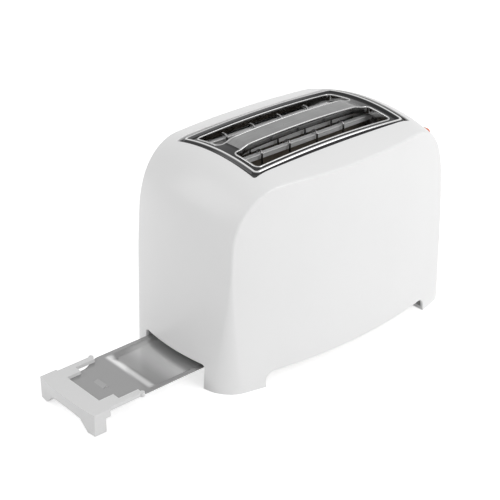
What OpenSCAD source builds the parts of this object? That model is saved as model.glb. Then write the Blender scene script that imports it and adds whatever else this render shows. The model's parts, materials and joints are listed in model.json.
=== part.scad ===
// Pop-up toaster, two slots, crumb tray drawn out at the left end, lever and controls at the right end.
// X runs along the toaster, Y across it, Z up. The feet stand on z = 0. Millimetres.

/* [Body] */
// length over the two ends at the ground
body_length = 264; // [258:1:272]
// width over the two bulged sides at the ground
body_width = 156; // [152:1:162]
// height of the top of the arch
body_height = 180; // [177:1:186]
// wall of the moulded housing
wall = 2.6; // [2.4:0.1:3]
// radius of the rounded shoulder at each end of the top
shoulder_radius = 53; // [50:1:56]
// radius of the softer arc from the shoulder down the end
end_radius = 80; // [74:1:88]
// radius of the crown across the top and the ends
crown_radius = 207; // [195:1:230]
// radius of the bulge of each side panel, seen from above
side_radius = 410; // [390:5:450]
// height of the bottom edge of the sides above the ground
side_clearance = 12.4; // [11.6:0.2:12.8]

/* [Top] */
// length of each bread slot
slot_length = 144; // [136:1:146]
// width of each bread slot
slot_width = 27; // [25:1:28]
// width of the bridge between the slots
bridge_width = 18; // [17:1:20]
// depth of the recess the steel slot frame lies in
recess_depth = 2; // [1.6:0.1:2.4]
// radius of the round bead pressed along the slot frame
bead_radius = 2.1; // [1.8:0.1:2.3]

/* [Crumb tray] */
// how far the tray is drawn out
tray_out = 102; // [80:1:106]
// width of the tray over its two edges
tray_width = 66; // [62:1:67]
// width of the tray handle
handle_width = 71; // [69:0.5:72]
// height of the top of the tray handle
handle_top = 19.6; // [19:0.2:19.8]

/* [Lever] */
// travel of the lever and the bread carriage
lever_travel = 57; // [50:1:58]
// height of the lever knob when it is up
lever_height = 130; // [129:1:132]
// width of the lever knob
knob_width = 33; // [26:1:34]

/* [Controls] */
// radius of the browning dial
dial_radius = 13.6; // [12:0.2:14]
// height of the centres of the dial and the button
control_height = 42; // [40:1:43]
// radius of the cancel button
button_radius = 6; // [5:0.2:6.4]

/* [Hidden] */
$fn = 96;

big = 400;
eps = 0.01;
seat = 0.04;          // clearance where one piece lies on another
run = 0.4;            // clearance of a sliding piece
half_l = body_length / 2;
// lean of the ends and of the sides from the vertical
end_lean = 4.3;
side_lean = 2.2;
// directions of the outline where one arc of the arch meets the next
top_turn = 2.2;
shoulder_turn = 67;
end_turn = 90 - end_lean;
lean_slope = tan(end_lean);
// radius of the long top arc, so that the ends reach the ground at half the length
top_radius = (half_l - shoulder_radius * (sin(shoulder_turn) - sin(top_turn))
  - end_radius * (sin(end_turn) - sin(shoulder_turn))
  - lean_slope * (body_height - shoulder_radius * (cos(top_turn) - cos(shoulder_turn))
  - end_radius * (cos(shoulder_turn) - cos(end_turn))))
  / (sin(top_turn) - lean_slope * (1 - cos(top_turn)));
top_c = [0, body_height - top_radius];
shoulder_c = top_c + (top_radius - shoulder_radius) * [sin(top_turn), cos(top_turn)];
end_c = shoulder_c + (shoulder_radius - end_radius) * [sin(shoulder_turn), cos(shoulder_turn)];
leg_top = end_c + end_radius * [sin(end_turn), cos(end_turn)];
// the slot frame follows one arc, as deep under the arch at its ends as in the middle
frame_half_l = slot_length / 2 + 11.5;
frame_half_w = bridge_width / 2 + slot_width + 10;
frame_z = body_height - recess_depth;
frame_sag = body_height - shoulder_c[1]
  - sqrt(shoulder_radius * shoulder_radius - pow(frame_half_l - shoulder_c[0], 2));
frame_radius = (frame_half_l * frame_half_l + frame_sag * frame_sag) / (2 * frame_sag);
// what is cut or kept at the top lies between these heights
top_zone = frame_z - 40;
top_zone_h = 80;
tray_face = -half_l + 1.2;
core_inset = 24;
section_depth = 44;
span = body_width + 24;
// corner of the plan near the ground, and the softer corner there
corner_radius = 62;
corner_cut = 4.2;
corner_rise = 100;
corner_turn = 44;
// sheet of the slot frame and the ledge under it
frame_sheet = 0.8;
ledge = 3;
ledge_thick = 2.4;
slot_in = bridge_width / 2;
slot_out = slot_in + slot_width;
bead_l = slot_length / 2 + 6.8;
bead_w = slot_out + 5;
bead_bend = 5;
// foot pads and the openings between them
foot_half_w = 37;
foot_from_x = half_l - 42;
foot_pad = 3;
notch_radius = 8;
// crumb tray levels
pan_floor = 12.8;
sheet = 0.8;
base_bottom = 13;
base_top = 15.8;
rim_z = base_top + 0.1;
keeper_z = rim_z + sheet + 0.2;
pan_half = tray_width / 2;
handle_half = handle_width / 2;
handle_depth = 17;
leg_width = 8.6;
leg_in = handle_half - leg_width;
arch_top = 10.8;
arch_radius = 120;
front_radius = 300;
door_half = foot_half_w;
door_top = handle_top + 0.9;
door_corner = 3;
// chassis
plate_x = frame_half_l - 3.5;
plate_t = 0.9;
pan_inner = plate_x + 4;
chassis_half = slot_out + 6.6;
chassis_top = body_height - 16;
guard_z = body_height - 13.8;
guard_foot = handle_top + 1.6;
board_z0 = 24;
board_z1 = guard_z - 8;
outer_board_y = slot_out + 4;
rack_y = (slot_in + slot_out) / 2;
rack_z = lever_height - 46;
bar_pitch = 10.5;
rod_x = plate_x + 16;
// the knob stands clear of the leaning end down to its lowest place
knob_x = half_l - (lever_height - lever_travel - 7) * lean_slope + 0.6;
knob_depth = 20;
// the origin lies under the middle of the whole, with the tray drawn out
origin_shift = (tray_out - tray_face - knob_x - knob_depth) / 2;
rod_r = 3;
bush_r = 6.4;
bush_z0 = lever_height - 36;
spring_z0 = base_top + 1.4;
spring_turns = 11;
spring_r = 4.6;
spring_wire = 0.6;
magnet_y = 25;
magnet_top = bush_z0 + 4 - lever_travel - 0.3;
board_x = plate_x + 25;
board_thick = 1.6;
board_half = 36;
dial_floor = half_l - control_height * lean_slope - 2.4;
button_y = -30;
cord_y = body_width / 2 - 34;
cord_z = 24;
// how far, in degrees, a tighter arc runs on under its neighbour
lap = 1.2;
screw_x = 84;
screw_y = 53;
loop_pitch = 29.4;
loops = [-1.5, -0.5, 0.5, 1.5];

// plan or elevation rectangle with rounded corners
module rounded(l, w, r) {
  union() {
    square([l - 2 * r, w], center = true);
    square([l, w - 2 * r], center = true);
    for (sx = [-1, 1]) for (sy = [-1, 1])
      translate([sx * (l / 2 - r), sy * (w / 2 - r)]) circle(r);
  }
}

// one side of a section of the arch, from depth a to depth b under the crowned surface
module crown_section(a, b) {
  intersection() {
    translate([-crown_radius, 0]) difference() {
      circle(r = crown_radius - a, $fn = 240);
      if (b < section_depth) circle(r = crown_radius - b, $fn = 240);
    }
    translate([-section_depth, -span / 2]) square([section_depth + 12, span]);
  }
}

module arc_band(c, r, t0, t1, a, b) {
  translate([c[0], 0, c[1]]) rotate([90, 0, 0]) rotate([0, 0, 90 - t1])
    rotate_extrude(angle = t1 - t0, $fn = 240) translate([r, 0]) crown_section(a, b);
}

// arched layer of the slot frame between two depths under its top, kept inside the children
module frame_band(a, b) {
  intersection() {
    arc_band([0, frame_z - frame_radius], frame_radius, -7, 7, a, b);
    translate([0, 0, top_zone]) linear_extrude(height = top_zone_h) children();
  }
}

function on_arc(c, r, t) = [c[0] + (r - core_inset) * sin(t), c[1] + (r - core_inset) * cos(t)];
half_core = concat(
  [for (t = [0, top_turn]) on_arc(top_c, top_radius, t)],
  [for (i = [1:6]) on_arc(shoulder_c, shoulder_radius, top_turn + (shoulder_turn - top_turn) * i / 6)],
  [for (i = [1:3]) on_arc(end_c, end_radius, shoulder_turn + (end_turn - shoulder_turn) * i / 3)],
  [[half_l - core_inset + 3, -20]]);

// one side panel as the skin of a large leaning cylinder
module side_cylinder(inset) {
  translate([0, -body_width / 2 + side_radius / cos(side_lean), 0]) rotate([-side_lean, 0, 0])
    translate([0, 0, -60]) cylinder(r = side_radius - inset, h = body_height + 120, $fn = 360);
}

// how far the crown and the arch of the frame have dropped at a distance from the middle
function crown_drop(y) = crown_radius - sqrt(crown_radius * crown_radius - y * y);
function end_drop(x) = frame_radius - sqrt(frame_radius * frame_radius - x * x);

// crease between an end and a side at height z
function crease_x(z) = half_l - z * lean_slope - 8.2;
function side_y(x, z) = body_width / 2 - z * tan(side_lean) - side_radius
  + sqrt(side_radius * side_radius - x * x);

// what is trimmed from the crease near the ground to soften it
module corner_trim(inset) {
  cx = crease_x(0);
  cy = side_y(cx, 0);
  ux = crease_x(corner_rise);
  uy = side_y(ux, corner_rise);
  dir = [cos(corner_turn), sin(corner_turn)];
  bottom = [cx, cy] - (corner_radius + corner_cut) * dir;
  top = [ux, uy] - (corner_radius - 0.6) * dir;
  shift = [top[0] - bottom[0], top[1] - bottom[1]];
  difference() {
    translate([cx - 26, cy - 26, -1]) cube([60, 60, corner_rise + 1]);
    translate([bottom[0], bottom[1], 0])
      rotate([-atan(shift[1] / corner_rise), atan(shift[0] / corner_rise), 0])
      translate([0, 0, -20]) cylinder(r = corner_radius - inset, h = corner_rise + 60, $fn = 240);
  }
}

// what lies between the two side panels and above the level bottom
module between_sides(inset, bottom) {
  intersection() {
    children();
    side_cylinder(inset);
    mirror([0, 1, 0]) side_cylinder(inset);
    translate([-big / 2, -big / 2, bottom]) cube([big, big, big]);
  }
}

// the body of the toaster, solid, with every surface moved in by inset
module body_solid(inset, bottom) {
  difference() {
    union() {
      between_sides(inset, bottom) arc_band(top_c, top_radius, -top_turn, top_turn, inset, section_depth);
      for (s = [0, 1]) mirror([s, 0, 0]) {
        between_sides(inset, bottom)
          arc_band(shoulder_c, shoulder_radius, top_turn - lap, shoulder_turn + lap, inset, section_depth);
        between_sides(inset, bottom)
          arc_band(end_c, end_radius, shoulder_turn, end_turn + lap, inset, section_depth);
        between_sides(inset, bottom) translate([leg_top[0], 0, leg_top[1]])
          rotate([0, 180 - end_lean, 0]) mirror([1, 0, 0])
          linear_extrude(height = leg_top[1] + 20) crown_section(inset, section_depth);
        between_sides(inset, bottom) rotate([90, 0, 0]) translate([0, 0, -span / 2])
          linear_extrude(height = span) polygon(concat([[0, -20]], half_core));
      }
    }
    for (sx = [0, 1]) for (sy = [0, 1]) mirror([sx, 0, 0]) mirror([0, sy, 0]) corner_trim(inset);
  }
}

module prism_x(x0, x1) {
  translate([x0, 0, 0]) rotate([90, 0, 90]) linear_extrude(height = x1 - x0) children();
}

module prism_y(y0, y1) {
  translate([0, y1, 0]) rotate([90, 0, 0]) linear_extrude(height = y1 - y0) children();
}

module box(x0, x1, y0, y1, z0, z1) {
  translate([x0, y0, z0]) cube([x1 - x0, y1 - y0, z1 - z0]);
}

module rod_x(x0, x1, y, z, r) {
  translate([x0, y, z]) rotate([0, 90, 0]) cylinder(r = r, h = x1 - x0);
}

module rod_z(x, y, z0, z1, r) {
  translate([x, y, z0]) cylinder(r = r, h = z1 - z0);
}

// one-piece moulded housing with its corner feet
module housing() {
  color([0.96, 0.96, 0.96]) difference() {
    union() {
      difference() {
        body_solid(0, 0);
        body_solid(wall, -10);
      }
      // thicker rim round the opening for the slot frame
      frame_band(-1.2, frame_sheet + ledge_thick)
        rounded(2 * frame_half_l + 8, 2 * frame_half_w + 8, 4);
      intersection() {
        body_solid(wall / 2, 0);
        union() {
          for (sx = [-1, 1]) for (sy = [-1, 1]) {
            // foot pads
            translate([sx * half_l, sy * (foot_half_w + 30), foot_pad / 2])
              cube([84, 60, foot_pad], center = true);
            // screw posts
            translate([sx * screw_x, sy * (screw_y + 12), base_top + seat + 12])
              cube([12, 34, 24], center = true);
          }
          // thick seat of the dial and guide of the button
          rod_x(dial_floor - 5, half_l, 0, control_height, dial_radius + 3.5);
          rod_x(dial_floor - 7, half_l, button_y, control_height, button_radius + 2.5);
          rod_x(half_l - 16, half_l, cord_y, cord_z, 8);
        }
      }
    }
    // opening for the slot frame and what is under it
    frame_band(-7, frame_sheet + seat) rounded(2 * frame_half_l + 0.8, 2 * frame_half_w + 0.8, 2);
    translate([0, 0, top_zone]) linear_extrude(height = top_zone_h)
      rounded(2 * (frame_half_l - ledge), 2 * (frame_half_w - ledge), 6);
    // gaps between the feet along the sides and across the lever end
    prism_y(-big / 2, big / 2) union() {
      translate([-foot_from_x, -20]) square([2 * foot_from_x, 20 + side_clearance - notch_radius]);
      translate([-foot_from_x + notch_radius, -20])
        square([2 * (foot_from_x - notch_radius), 20 + side_clearance]);
      for (s = [-1, 1])
        translate([s * (foot_from_x - notch_radius), side_clearance - notch_radius]) circle(notch_radius);
    }
    prism_x(0, half_l + 10) union() {
      translate([-foot_half_w, -20]) square([2 * foot_half_w, 20 + side_clearance - notch_radius]);
      translate([-foot_half_w + notch_radius, -20])
        square([2 * (foot_half_w - notch_radius), 20 + side_clearance]);
      for (s = [-1, 1])
        translate([s * (foot_half_w - notch_radius), side_clearance - notch_radius]) circle(notch_radius);
    }
    // doorway of the crumb tray
    prism_x(-half_l - 10, -half_l + 30) union() {
      translate([-door_half, -20]) square([2 * door_half, 20 + door_top - door_corner]);
      translate([-door_half + door_corner, -20]) square([2 * (door_half - door_corner), 20 + door_top]);
      for (s = [-1, 1]) translate([s * (door_half - door_corner), door_top - door_corner])
        circle(door_corner);
    }
    // slot of the lever
    prism_x(half_l - 40, half_l + 10) translate([0, lever_height - lever_travel / 2])
      rounded(7, lever_travel + 17, 3.4);
    // dial pocket and its shaft hole
    rod_x(dial_floor, half_l + 20, 0, control_height, dial_radius + 0.6);
    rod_x(half_l - 40, half_l, 0, control_height, rod_r + 0.3);
    // button hole
    rod_x(half_l - 40, half_l + 20, button_y, control_height, button_radius + 0.3);
    // cord hole
    rod_x(half_l - 40, half_l + 20, cord_y, cord_z, 5.2);
    // screw pilots
    for (sx = [-1, 1]) for (sy = [-1, 1]) rod_z(sx * screw_x, sy * screw_y, 0, base_top + 18, 1.5);
  }
}

// pressed steel plate with the two bread slots, the bead and the raised bridge
module slot_frame() {
  ramp = slot_length / 2 - 5;
  color([0.75, 0.76, 0.78]) difference() {
    union() {
      frame_band(0, frame_sheet) rounded(2 * frame_half_l, 2 * frame_half_w, 1.6);
      // round bead, its underside level with the sheet
      intersection() {
        bead();
        frame_band(-bead_radius - 1, frame_sheet) square([2 * frame_half_l, 2 * frame_half_w], center = true);
      }
      // walls round the slots
      frame_band(frame_sheet / 2, 3.6) for (s = [-1, 1]) translate([0, s * rack_y])
        rounded(slot_length + 1.6, slot_width + 1.6, 4.8);
      // raised bridge
      intersection() {
        frame_band(-2.4, 3) square([2 * ramp, bridge_width], center = true);
        prism_y(-20, 20) polygon([[-ramp, frame_z - 12], [-ramp, frame_z - 3],
          [-ramp + 12, frame_z + 6], [ramp - 12, frame_z + 6], [ramp, frame_z - 3], [ramp, frame_z - 12]]);
      }
    }
    for (s = [-1, 1]) translate([0, s * rack_y, top_zone]) linear_extrude(height = top_zone_h)
      rounded(slot_length, slot_width, 4);
    // hollow of the bridge
    frame_band(-1.6, 8) square([2 * ramp - 28, bridge_width - 1.6], center = true);
  }
}

// round bar that follows the arch along the sides, the crown across the ends, and four bends
module bead() {
  cx = bead_l - bead_bend;
  cy = bead_w - bead_bend;
  tilt_x = atan((end_drop(bead_l) - end_drop(cx)) / bead_bend);
  tilt_y = atan((crown_drop(bead_w) - crown_drop(cy)) / bead_bend);
  union() {
    for (s = [-1, 1]) intersection() {
      translate([0, s * bead_w, frame_z - frame_radius]) rotate([90, 0, 0])
        rotate([0, 0, 83]) rotate_extrude(angle = 14, $fn = 240)
        translate([frame_radius - crown_drop(bead_w), 0]) circle(r = bead_radius, $fn = 32);
      translate([0, 0, frame_z]) cube([2 * cx + 0.4, span, top_zone_h], center = true);
    }
    for (s = [-1, 1]) intersection() {
      translate([s * bead_l, 0, frame_z - end_drop(bead_l) - crown_radius]) rotate([90, 0, 90])
        rotate([0, 0, 70]) rotate_extrude(angle = 40, $fn = 240)
        translate([crown_radius, 0]) circle(r = bead_radius, $fn = 32);
      translate([0, 0, frame_z]) cube([body_length, 2 * cy + 0.4, top_zone_h], center = true);
    }
    for (sx = [0, 1]) for (sy = [0, 1]) mirror([sx, 0, 0]) mirror([0, sy, 0])
      translate([cx, cy, frame_z - end_drop(cx) - crown_drop(cy)]) rotate([-tilt_y, tilt_x, 0])
      rotate_extrude(angle = 90, $fn = 96) translate([bead_bend, 0]) circle(r = bead_radius, $fn = 32);
  }
}

// bottom cover with the window over the crumb tray
module base_plate() {
  color([0.85, 0.85, 0.84]) difference() {
    union() {
      intersection() {
        body_solid(wall + 0.25, base_bottom);
        box(tray_face + handle_depth + 0.8, half_l, -span / 2, span / 2, base_bottom, base_top);
      }
      // seat of the guide rod and grooved posts of the control board
      rod_z(rod_x, 0, base_bottom, base_top + 1.2, bush_r + 2);
      for (s = [-1, 1])
        box(board_x - 3, board_x + board_thick + 3, s * 30 - 4, s * 30 + 4, base_bottom, base_top + 14);
    }
    box(-half_l, pan_inner + 4, -pan_half + 4, pan_half - 4, 0, base_top + 1);
    rod_z(rod_x, 0, base_bottom + 1, base_top + 5, rod_r + seat);
    box(board_x - seat, board_x + board_thick + seat, -board_half, board_half, base_top + 8,
      base_top + 30);
    // vents
    for (i = [-3:3]) for (s = [-1, 1])
      box(i * 16 - 5, i * 16 + 5, s * 46 - 1.5, s * 46 + 1.5, 0, base_top + 5);
    for (sx = [-1, 1]) for (sy = [-1, 1]) rod_z(sx * screw_x, sy * screw_y, 0, 20, 1.9);
  }
}

// four screws up through the bottom cover
module base_screws() {
  color([0.6, 0.6, 0.62]) for (sx = [-1, 1]) for (sy = [-1, 1]) difference() {
    union() {
      rod_z(sx * screw_x, sy * screw_y, base_bottom - 2, base_bottom - seat, 3.4);
      rod_z(sx * screw_x, sy * screw_y, base_bottom - 1, base_top + 14, 1.46);
    }
    box(sx * screw_x - 2.4, sx * screw_x + 2.4, sy * screw_y - 0.5, sy * screw_y + 0.5,
      base_bottom - 3, base_bottom - 1.2);
    box(sx * screw_x - 0.5, sx * screw_x + 0.5, sy * screw_y - 2.4, sy * screw_y + 2.4,
      base_bottom - 3, base_bottom - 1.2);
  }
}

// grommet of the mains cord
module cord_gland() {
  color([0.9, 0.9, 0.9]) difference() {
    union() {
      rod_x(half_l - 17.5, half_l - 4.5, cord_y, cord_z, 5.15);
      rod_x(half_l - 19.5, half_l - 16.1, cord_y, cord_z, 7.2);
    }
    rod_x(half_l - 30, half_l, cord_y, cord_z, 3.2);
  }
}

// crumb tray pan, drawn out
module tray_pan() {
  x0 = tray_face + 12.5 - tray_out;
  x1 = pan_inner - tray_out;
  neck = tray_face + 58 - tray_out;
  floor_half = pan_half - 7;
  color([0.7, 0.71, 0.72]) union() {
    // floor, sloping walls, side edges and the ends
    prism_x(neck, x1) union() {
      translate([-floor_half, pan_floor]) square([2 * floor_half, sheet]);
      for (s = [0, 1]) mirror([s, 0]) {
        translate([pan_half - 5, rim_z]) square([5, sheet]);
        polygon([[floor_half - 1, pan_floor], [floor_half, pan_floor], [pan_half - 4, rim_z],
          [pan_half - 4, rim_z + sheet], [pan_half - 5, rim_z + sheet], [floor_half - 1, pan_floor + sheet]]);
      }
    }
    box(x1 - sheet, x1, -pan_half, pan_half, rim_z - 0.02, rim_z + sheet);
    box(x1 - sheet, x1, -floor_half - 1, floor_half + 1, pan_floor, rim_z + sheet);
    prism_y(-floor_half - 2.6, floor_half + 2.6) polygon([[neck, rim_z], [neck + 8, pan_floor],
      [neck + 9, pan_floor], [neck + 9, pan_floor + sheet], [neck, rim_z + sheet]]);
    // tongue that narrows into the handle
    translate([0, 0, rim_z]) linear_extrude(height = sheet) polygon([[neck + 1, -pan_half],
      [neck + 1, pan_half], [neck - 4, pan_half], [neck - 24, pan_half - 8], [x0, pan_half - 8],
      [x0, -pan_half + 8], [neck - 24, -pan_half + 8], [neck - 4, -pan_half]]);
    // lanced tab
    translate([x0 + 21, 0, rim_z + sheet / 2]) rotate([0, -18, 0]) translate([0, -6, 0]) cube([5, 12, sheet]);
  }
}

// moulded handle of the crumb tray
module tray_handle() {
  x0 = tray_face - tray_out;
  plate_z = rim_z + sheet + seat;
  color([0.93, 0.93, 0.92]) difference() {
    union() {
      // front wall and top
      intersection() {
        box(x0 - 2, x0 + handle_depth, -handle_half, handle_half, 0, handle_top);
        translate([x0 + front_radius, 0, -1]) cylinder(r = front_radius, h = handle_top + 4, $fn = 720);
      }
      // steps of the top and the two arms
      for (s = [0, 1]) mirror([0, s, 0]) {
        box(x0 + 16, x0 + 30, 21, handle_half - 3.5, plate_z, handle_top);
        box(x0 + 16, x0 + 48, handle_half - 7.5, handle_half - 3.5, plate_z, handle_top);
        box(x0 + 10, x0 + 49, handle_half - 4.4, handle_half - 1.8, base_top + 0.3, handle_top);
        // snap nub
        rod_z(x0 + 48, handle_half - 2.4, base_top + 0.3, handle_top, 2.1);
      }
    }
    // hollow under the top, behind the front wall
    box(x0 + 12.6, x0 + handle_depth + 0.5, -leg_in, leg_in, -1, rim_z - seat);
    box(x0 + 3, x0 + 13, -handle_half + 2.4, handle_half - 2.4, handle_top - 5.6, handle_top - 1.8);
    // slot of the tongue
    box(x0 + 12, x0 + 60, -pan_half + 7.8, pan_half - 7.8, rim_z - seat, plate_z);
    // arch between the legs
    prism_x(x0 - 10, x0 + 40) union() {
      intersection() {
        translate([0, arch_top - arch_radius]) circle(r = arch_radius, $fn = 240);
        polygon([[-leg_in - 1, 0], [-leg_in + arch_top, arch_top + 1],
          [leg_in - arch_top, arch_top + 1], [leg_in + 1, 0]]);
      }
      translate([-handle_half - 5, -10]) square([handle_width + 10, 11]);
    }
    // legs end behind the front wall
    box(x0 + 12.6, x0 + 60, -handle_half - 1, handle_half + 1, -1, rim_z - 3.2);
    // relief of the front wall behind its outer skin
    for (s = [0, 1]) mirror([0, s, 0])
      box(x0 + 3, x0 + 20, handle_half - 6.4, handle_half - 2.2, -1, rim_z - 5);
  }
}

// folded keepers over the edges of the pan
module tray_rails() {
  color([0.66, 0.67, 0.69]) for (s = [0, 1]) mirror([0, s, 0]) {
    box(-plate_x + 2, pan_inner, pan_half + 0.5, pan_half + 1.5, base_top + seat, keeper_z + 0.8);
    box(-plate_x + 2, pan_inner, pan_half - 2, pan_half + 1.5, keeper_z, keeper_z + 0.8);
  }
}

module end_sheet(x) {
  difference() {
    box(x, x + plate_t, -chassis_half, chassis_half, base_top + seat, chassis_top);
    box(x - 1, x + plate_t + 1, -pan_half - 3, pan_half + 3, 0, handle_top + 0.8);
    for (s = [-1, 1]) {
      // travel slots of the bread racks
      box(x - 1, x + plate_t + 1, s * rack_y - 2.2, s * rack_y + 2.2,
        rack_z - lever_travel - 9.5, rack_z + 14);
      // windows over the slots, under the frame
      box(x - 1, x + plate_t + 1, s * rack_y - 9, s * rack_y + 9, rack_z + 26, chassis_top - 12);
    }
    // slots for the tabs of the boards
    for (y = [-outer_board_y, 0, outer_board_y])
      for (z = [board_z0 + 16, board_z1 - 16])
        box(x - 1, x + plate_t + 1, y - 0.55, y + 0.55, z - 6.05, z + 6.05);
  }
}

module chassis_tray_end() {
  color([0.72, 0.73, 0.74]) union() {
    end_sheet(-plate_x - plate_t);
    for (s = [0, 1]) mirror([0, s, 0])
      box(-plate_x - 9, -plate_x, chassis_half - 4, chassis_half, base_top + seat, base_top + 1);
  }
}

module chassis_lever_end() {
  color([0.72, 0.73, 0.74]) union() {
    end_sheet(plate_x);
    for (s = [0, 1]) mirror([0, s, 0])
      box(plate_x, plate_x + 9, chassis_half - 4, chassis_half, base_top + seat, base_top + 1);
  }
}

// bright sheets behind the outer heaters, hooked on the end sheets
module side_reflectors() {
  color([0.8, 0.81, 0.82]) for (s = [0, 1]) mirror([0, s, 0]) {
    box(-plate_x - plate_t, plate_x + plate_t, chassis_half + seat, chassis_half + 0.64,
      base_top + seat, chassis_top);
    box(-plate_x + seat, plate_x - seat, chassis_half - 2, chassis_half + 0.3,
      chassis_top - 0.6, chassis_top);
    for (i = [-1, 1])
      box(i * (plate_x - 3) - 3 + seat * -i, i * (plate_x - 3) + 3 - seat * i, chassis_half - 1.6,
        chassis_half + 0.3, 60, 60.6);
  }
}

module heater_board(y) {
  union() {
    box(-plate_x + 0.3, plate_x - 0.3, y - 0.4, y + 0.4, board_z0, board_z1);
    for (s = [-1, 1]) for (z = [board_z0 + 16, board_z1 - 16])
      box(s * plate_x - 2.5, s * plate_x + 2.5, y - 0.4, y + 0.4, z - 6, z + 6);
  }
}

// flat resistance strip wound round a board
module ribbon(y) {
  rows = 9;
  pitch = (board_z1 - board_z0 - 24) / (rows - 1);
  for (i = [0:rows - 1]) for (s = [-1, 1])
    box(-plate_x + 8, plate_x - 8, y + s * 0.55 - 0.14, y + s * 0.55 + 0.14,
      board_z0 + 12 + i * pitch - 0.9, board_z0 + 12 + i * pitch + 0.9);
}

module outer_heater_boards() {
  color([0.78, 0.72, 0.6]) for (s = [-1, 1]) heater_board(s * outer_board_y);
}

module centre_heater_board() {
  color([0.78, 0.72, 0.6]) heater_board(0);
}

module outer_heater_ribbons() {
  color([0.5, 0.48, 0.46]) for (s = [-1, 1]) ribbon(s * outer_board_y);
}

module centre_heater_ribbons() {
  color([0.5, 0.48, 0.46]) ribbon(0);
}

// folded rails that carry the guard wires
module guard_rails() {
  color([0.68, 0.69, 0.7]) for (s = [0, 1]) mirror([0, s, 0]) for (y = [slot_in - 2, slot_out - 1]) {
    box(-plate_x + seat, plate_x - seat, y - 2.2, y + 2.2, guard_z - 0.8, guard_z);
    box(-plate_x + seat, plate_x - seat, y - 0.4, y + 0.4, guard_z - 5, guard_z - 0.4);
    // strip under the wires
    box(-plate_x + seat, plate_x - seat, y - (y > rack_y ? 3.88 : 2.2), y + (y > rack_y ? 2.2 : 3.88),
      guard_foot, guard_foot + 0.8);
  }
}

// upright wires hooked over the rails
module guard_wires() {
  color([0.6, 0.6, 0.62]) for (s = [0, 1]) mirror([0, s, 0]) for (g = [0, 1]) for (i = loops) {
    y = g == 0 ? slot_in - 2 : slot_out - 1;
    side = g == 0 ? 1 : -1;
    translate([i * loop_pitch, y, 0]) mirror([0, 1 - (side + 1) / 2, 0]) union() {
      rod_z(0, 3.05, guard_foot + 0.8 + seat, guard_z - 0.3, 0.8);
      rod_z(0, -3.05, guard_z - 5, guard_z - 0.3, 0.8);
      translate([0, 0, guard_z - 0.3]) rotate([90, 0, 90])
        rotate_extrude(angle = 180, $fn = 48) translate([3.05, 0]) circle(r = 0.8, $fn = 24);
    }
  }
}

// the two supports that lift the bread
module bread_racks() {
  color([0.7, 0.7, 0.72]) for (s = [-1, 1]) union() {
    box(-plate_x - 5, plate_x + 6 - seat, s * rack_y - 0.8, s * rack_y + 0.8, rack_z - 8, rack_z - 1);
    for (i = [-6:6])
      box(i * bar_pitch - 0.8, i * bar_pitch + 0.8,
        s * rack_y - slot_width / 2 + 5, s * rack_y + slot_width / 2 - 5,
        rack_z - 4, rack_z);
  }
}

// slider with the lever arm
module carriage() {
  color([0.62, 0.63, 0.65]) difference() {
    union() {
      rod_z(rod_x, 0, bush_z0, lever_height + 4, bush_r);
      box(plate_x + 6, rod_x, -4, 4, bush_z0, lever_height + 4);
      box(plate_x + 6, rod_x - bush_r - 1, -4, 4, rack_z - 8, bush_z0 + 1);
      box(plate_x + 6, plate_x + 8, -rack_y - 3, rack_y + 3, rack_z - 8, rack_z + 2);
      box(plate_x + 6, plate_x + 8, -5, magnet_y + 5, bush_z0 + 6, bush_z0 + 16);
      box(plate_x + 6, rod_x + 4, magnet_y - 5, magnet_y + 5, bush_z0 + 6, bush_z0 + 7.6);
      box(rod_x, knob_x + 10, -1.5, 1.5, lever_height - 4, lever_height + 4);
    }
    rod_z(rod_x, 0, bush_z0 - 10, lever_height + 10, rod_r + 0.06);
  }
}

// lever knob pushed on the arm
module lever_knob() {
  x0 = knob_x;
  color([0.85, 0.33, 0.1]) difference() {
    intersection() {
      union() {
        translate([x0, 0, lever_height]) rotate([90, 0, 90]) linear_extrude(height = knob_depth - 1)
          rounded(knob_width, 12, 4);
        translate([x0 + knob_depth - 1, 0, lever_height]) rotate([90, 0, 90]) linear_extrude(height = 1)
          rounded(knob_width - 2, 10, 3.4);
      }
      translate([x0 + knob_depth - 60, 0, lever_height - 20]) cylinder(r = 60, h = 40, $fn = 240);
    }
    box(x0 - 1, x0 + 10 + seat, -1.5 - 0.02, 1.5 + 0.02, lever_height - 4.02, lever_height + 4.02);
    // finger hollow on top
    translate([x0 + 11, 0, lever_height + 6 + 20]) rotate([90, 0, 0])
      cylinder(r = 21.4, h = knob_width - 8, center = true, $fn = 180);
  }
}

module guide_rod() {
  color([0.8, 0.8, 0.82]) rod_z(rod_x, 0, base_bottom + 1, body_height - 20, rod_r);
}

// strap that holds the top of the rod to the lever end sheet
module rod_bracket() {
  z = body_height - 24;
  color([0.66, 0.67, 0.69]) difference() {
    union() {
      box(plate_x + plate_t + seat, rod_x + 7, -8, 8, z, z + 1.2);
      box(plate_x + plate_t + seat, plate_x + plate_t + 1.2, -8, 8, z - 5, z + 1.2);
    }
    rod_z(rod_x, 0, z - 5, z + 5, rod_r + seat);
  }
}

// spring under the slider
module return_spring() {
  height = bush_z0 - spring_z0 - 2 * spring_wire - 0.1;
  color([0.7, 0.7, 0.72]) translate([rod_x, 0, spring_z0 + spring_wire])
    linear_extrude(height = height, twist = -360 * spring_turns, slices = 18 * spring_turns, $fn = 8)
    translate([spring_r, 0]) scale([1, 2.4]) circle(r = spring_wire, $fn = 8);
}

// soft iron plate that the magnet holds
module latch_keeper() {
  color([0.5, 0.5, 0.52]) box(rod_x - 7, rod_x + 5, magnet_y - 7, magnet_y + 7,
    bush_z0 + 4, bush_z0 + 6 - seat);
}

module magnet_core() {
  color([0.45, 0.45, 0.47]) union() {
    box(rod_x - 6, rod_x + 4, magnet_y - 11, magnet_y + 11, base_top + seat, base_top + 4);
    for (s = [-1, 1])
      box(rod_x - 4, rod_x + 2, magnet_y + s * 8 - 2.5, magnet_y + s * 8 + 2.5, base_top + 3, magnet_top);
  }
}

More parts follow.
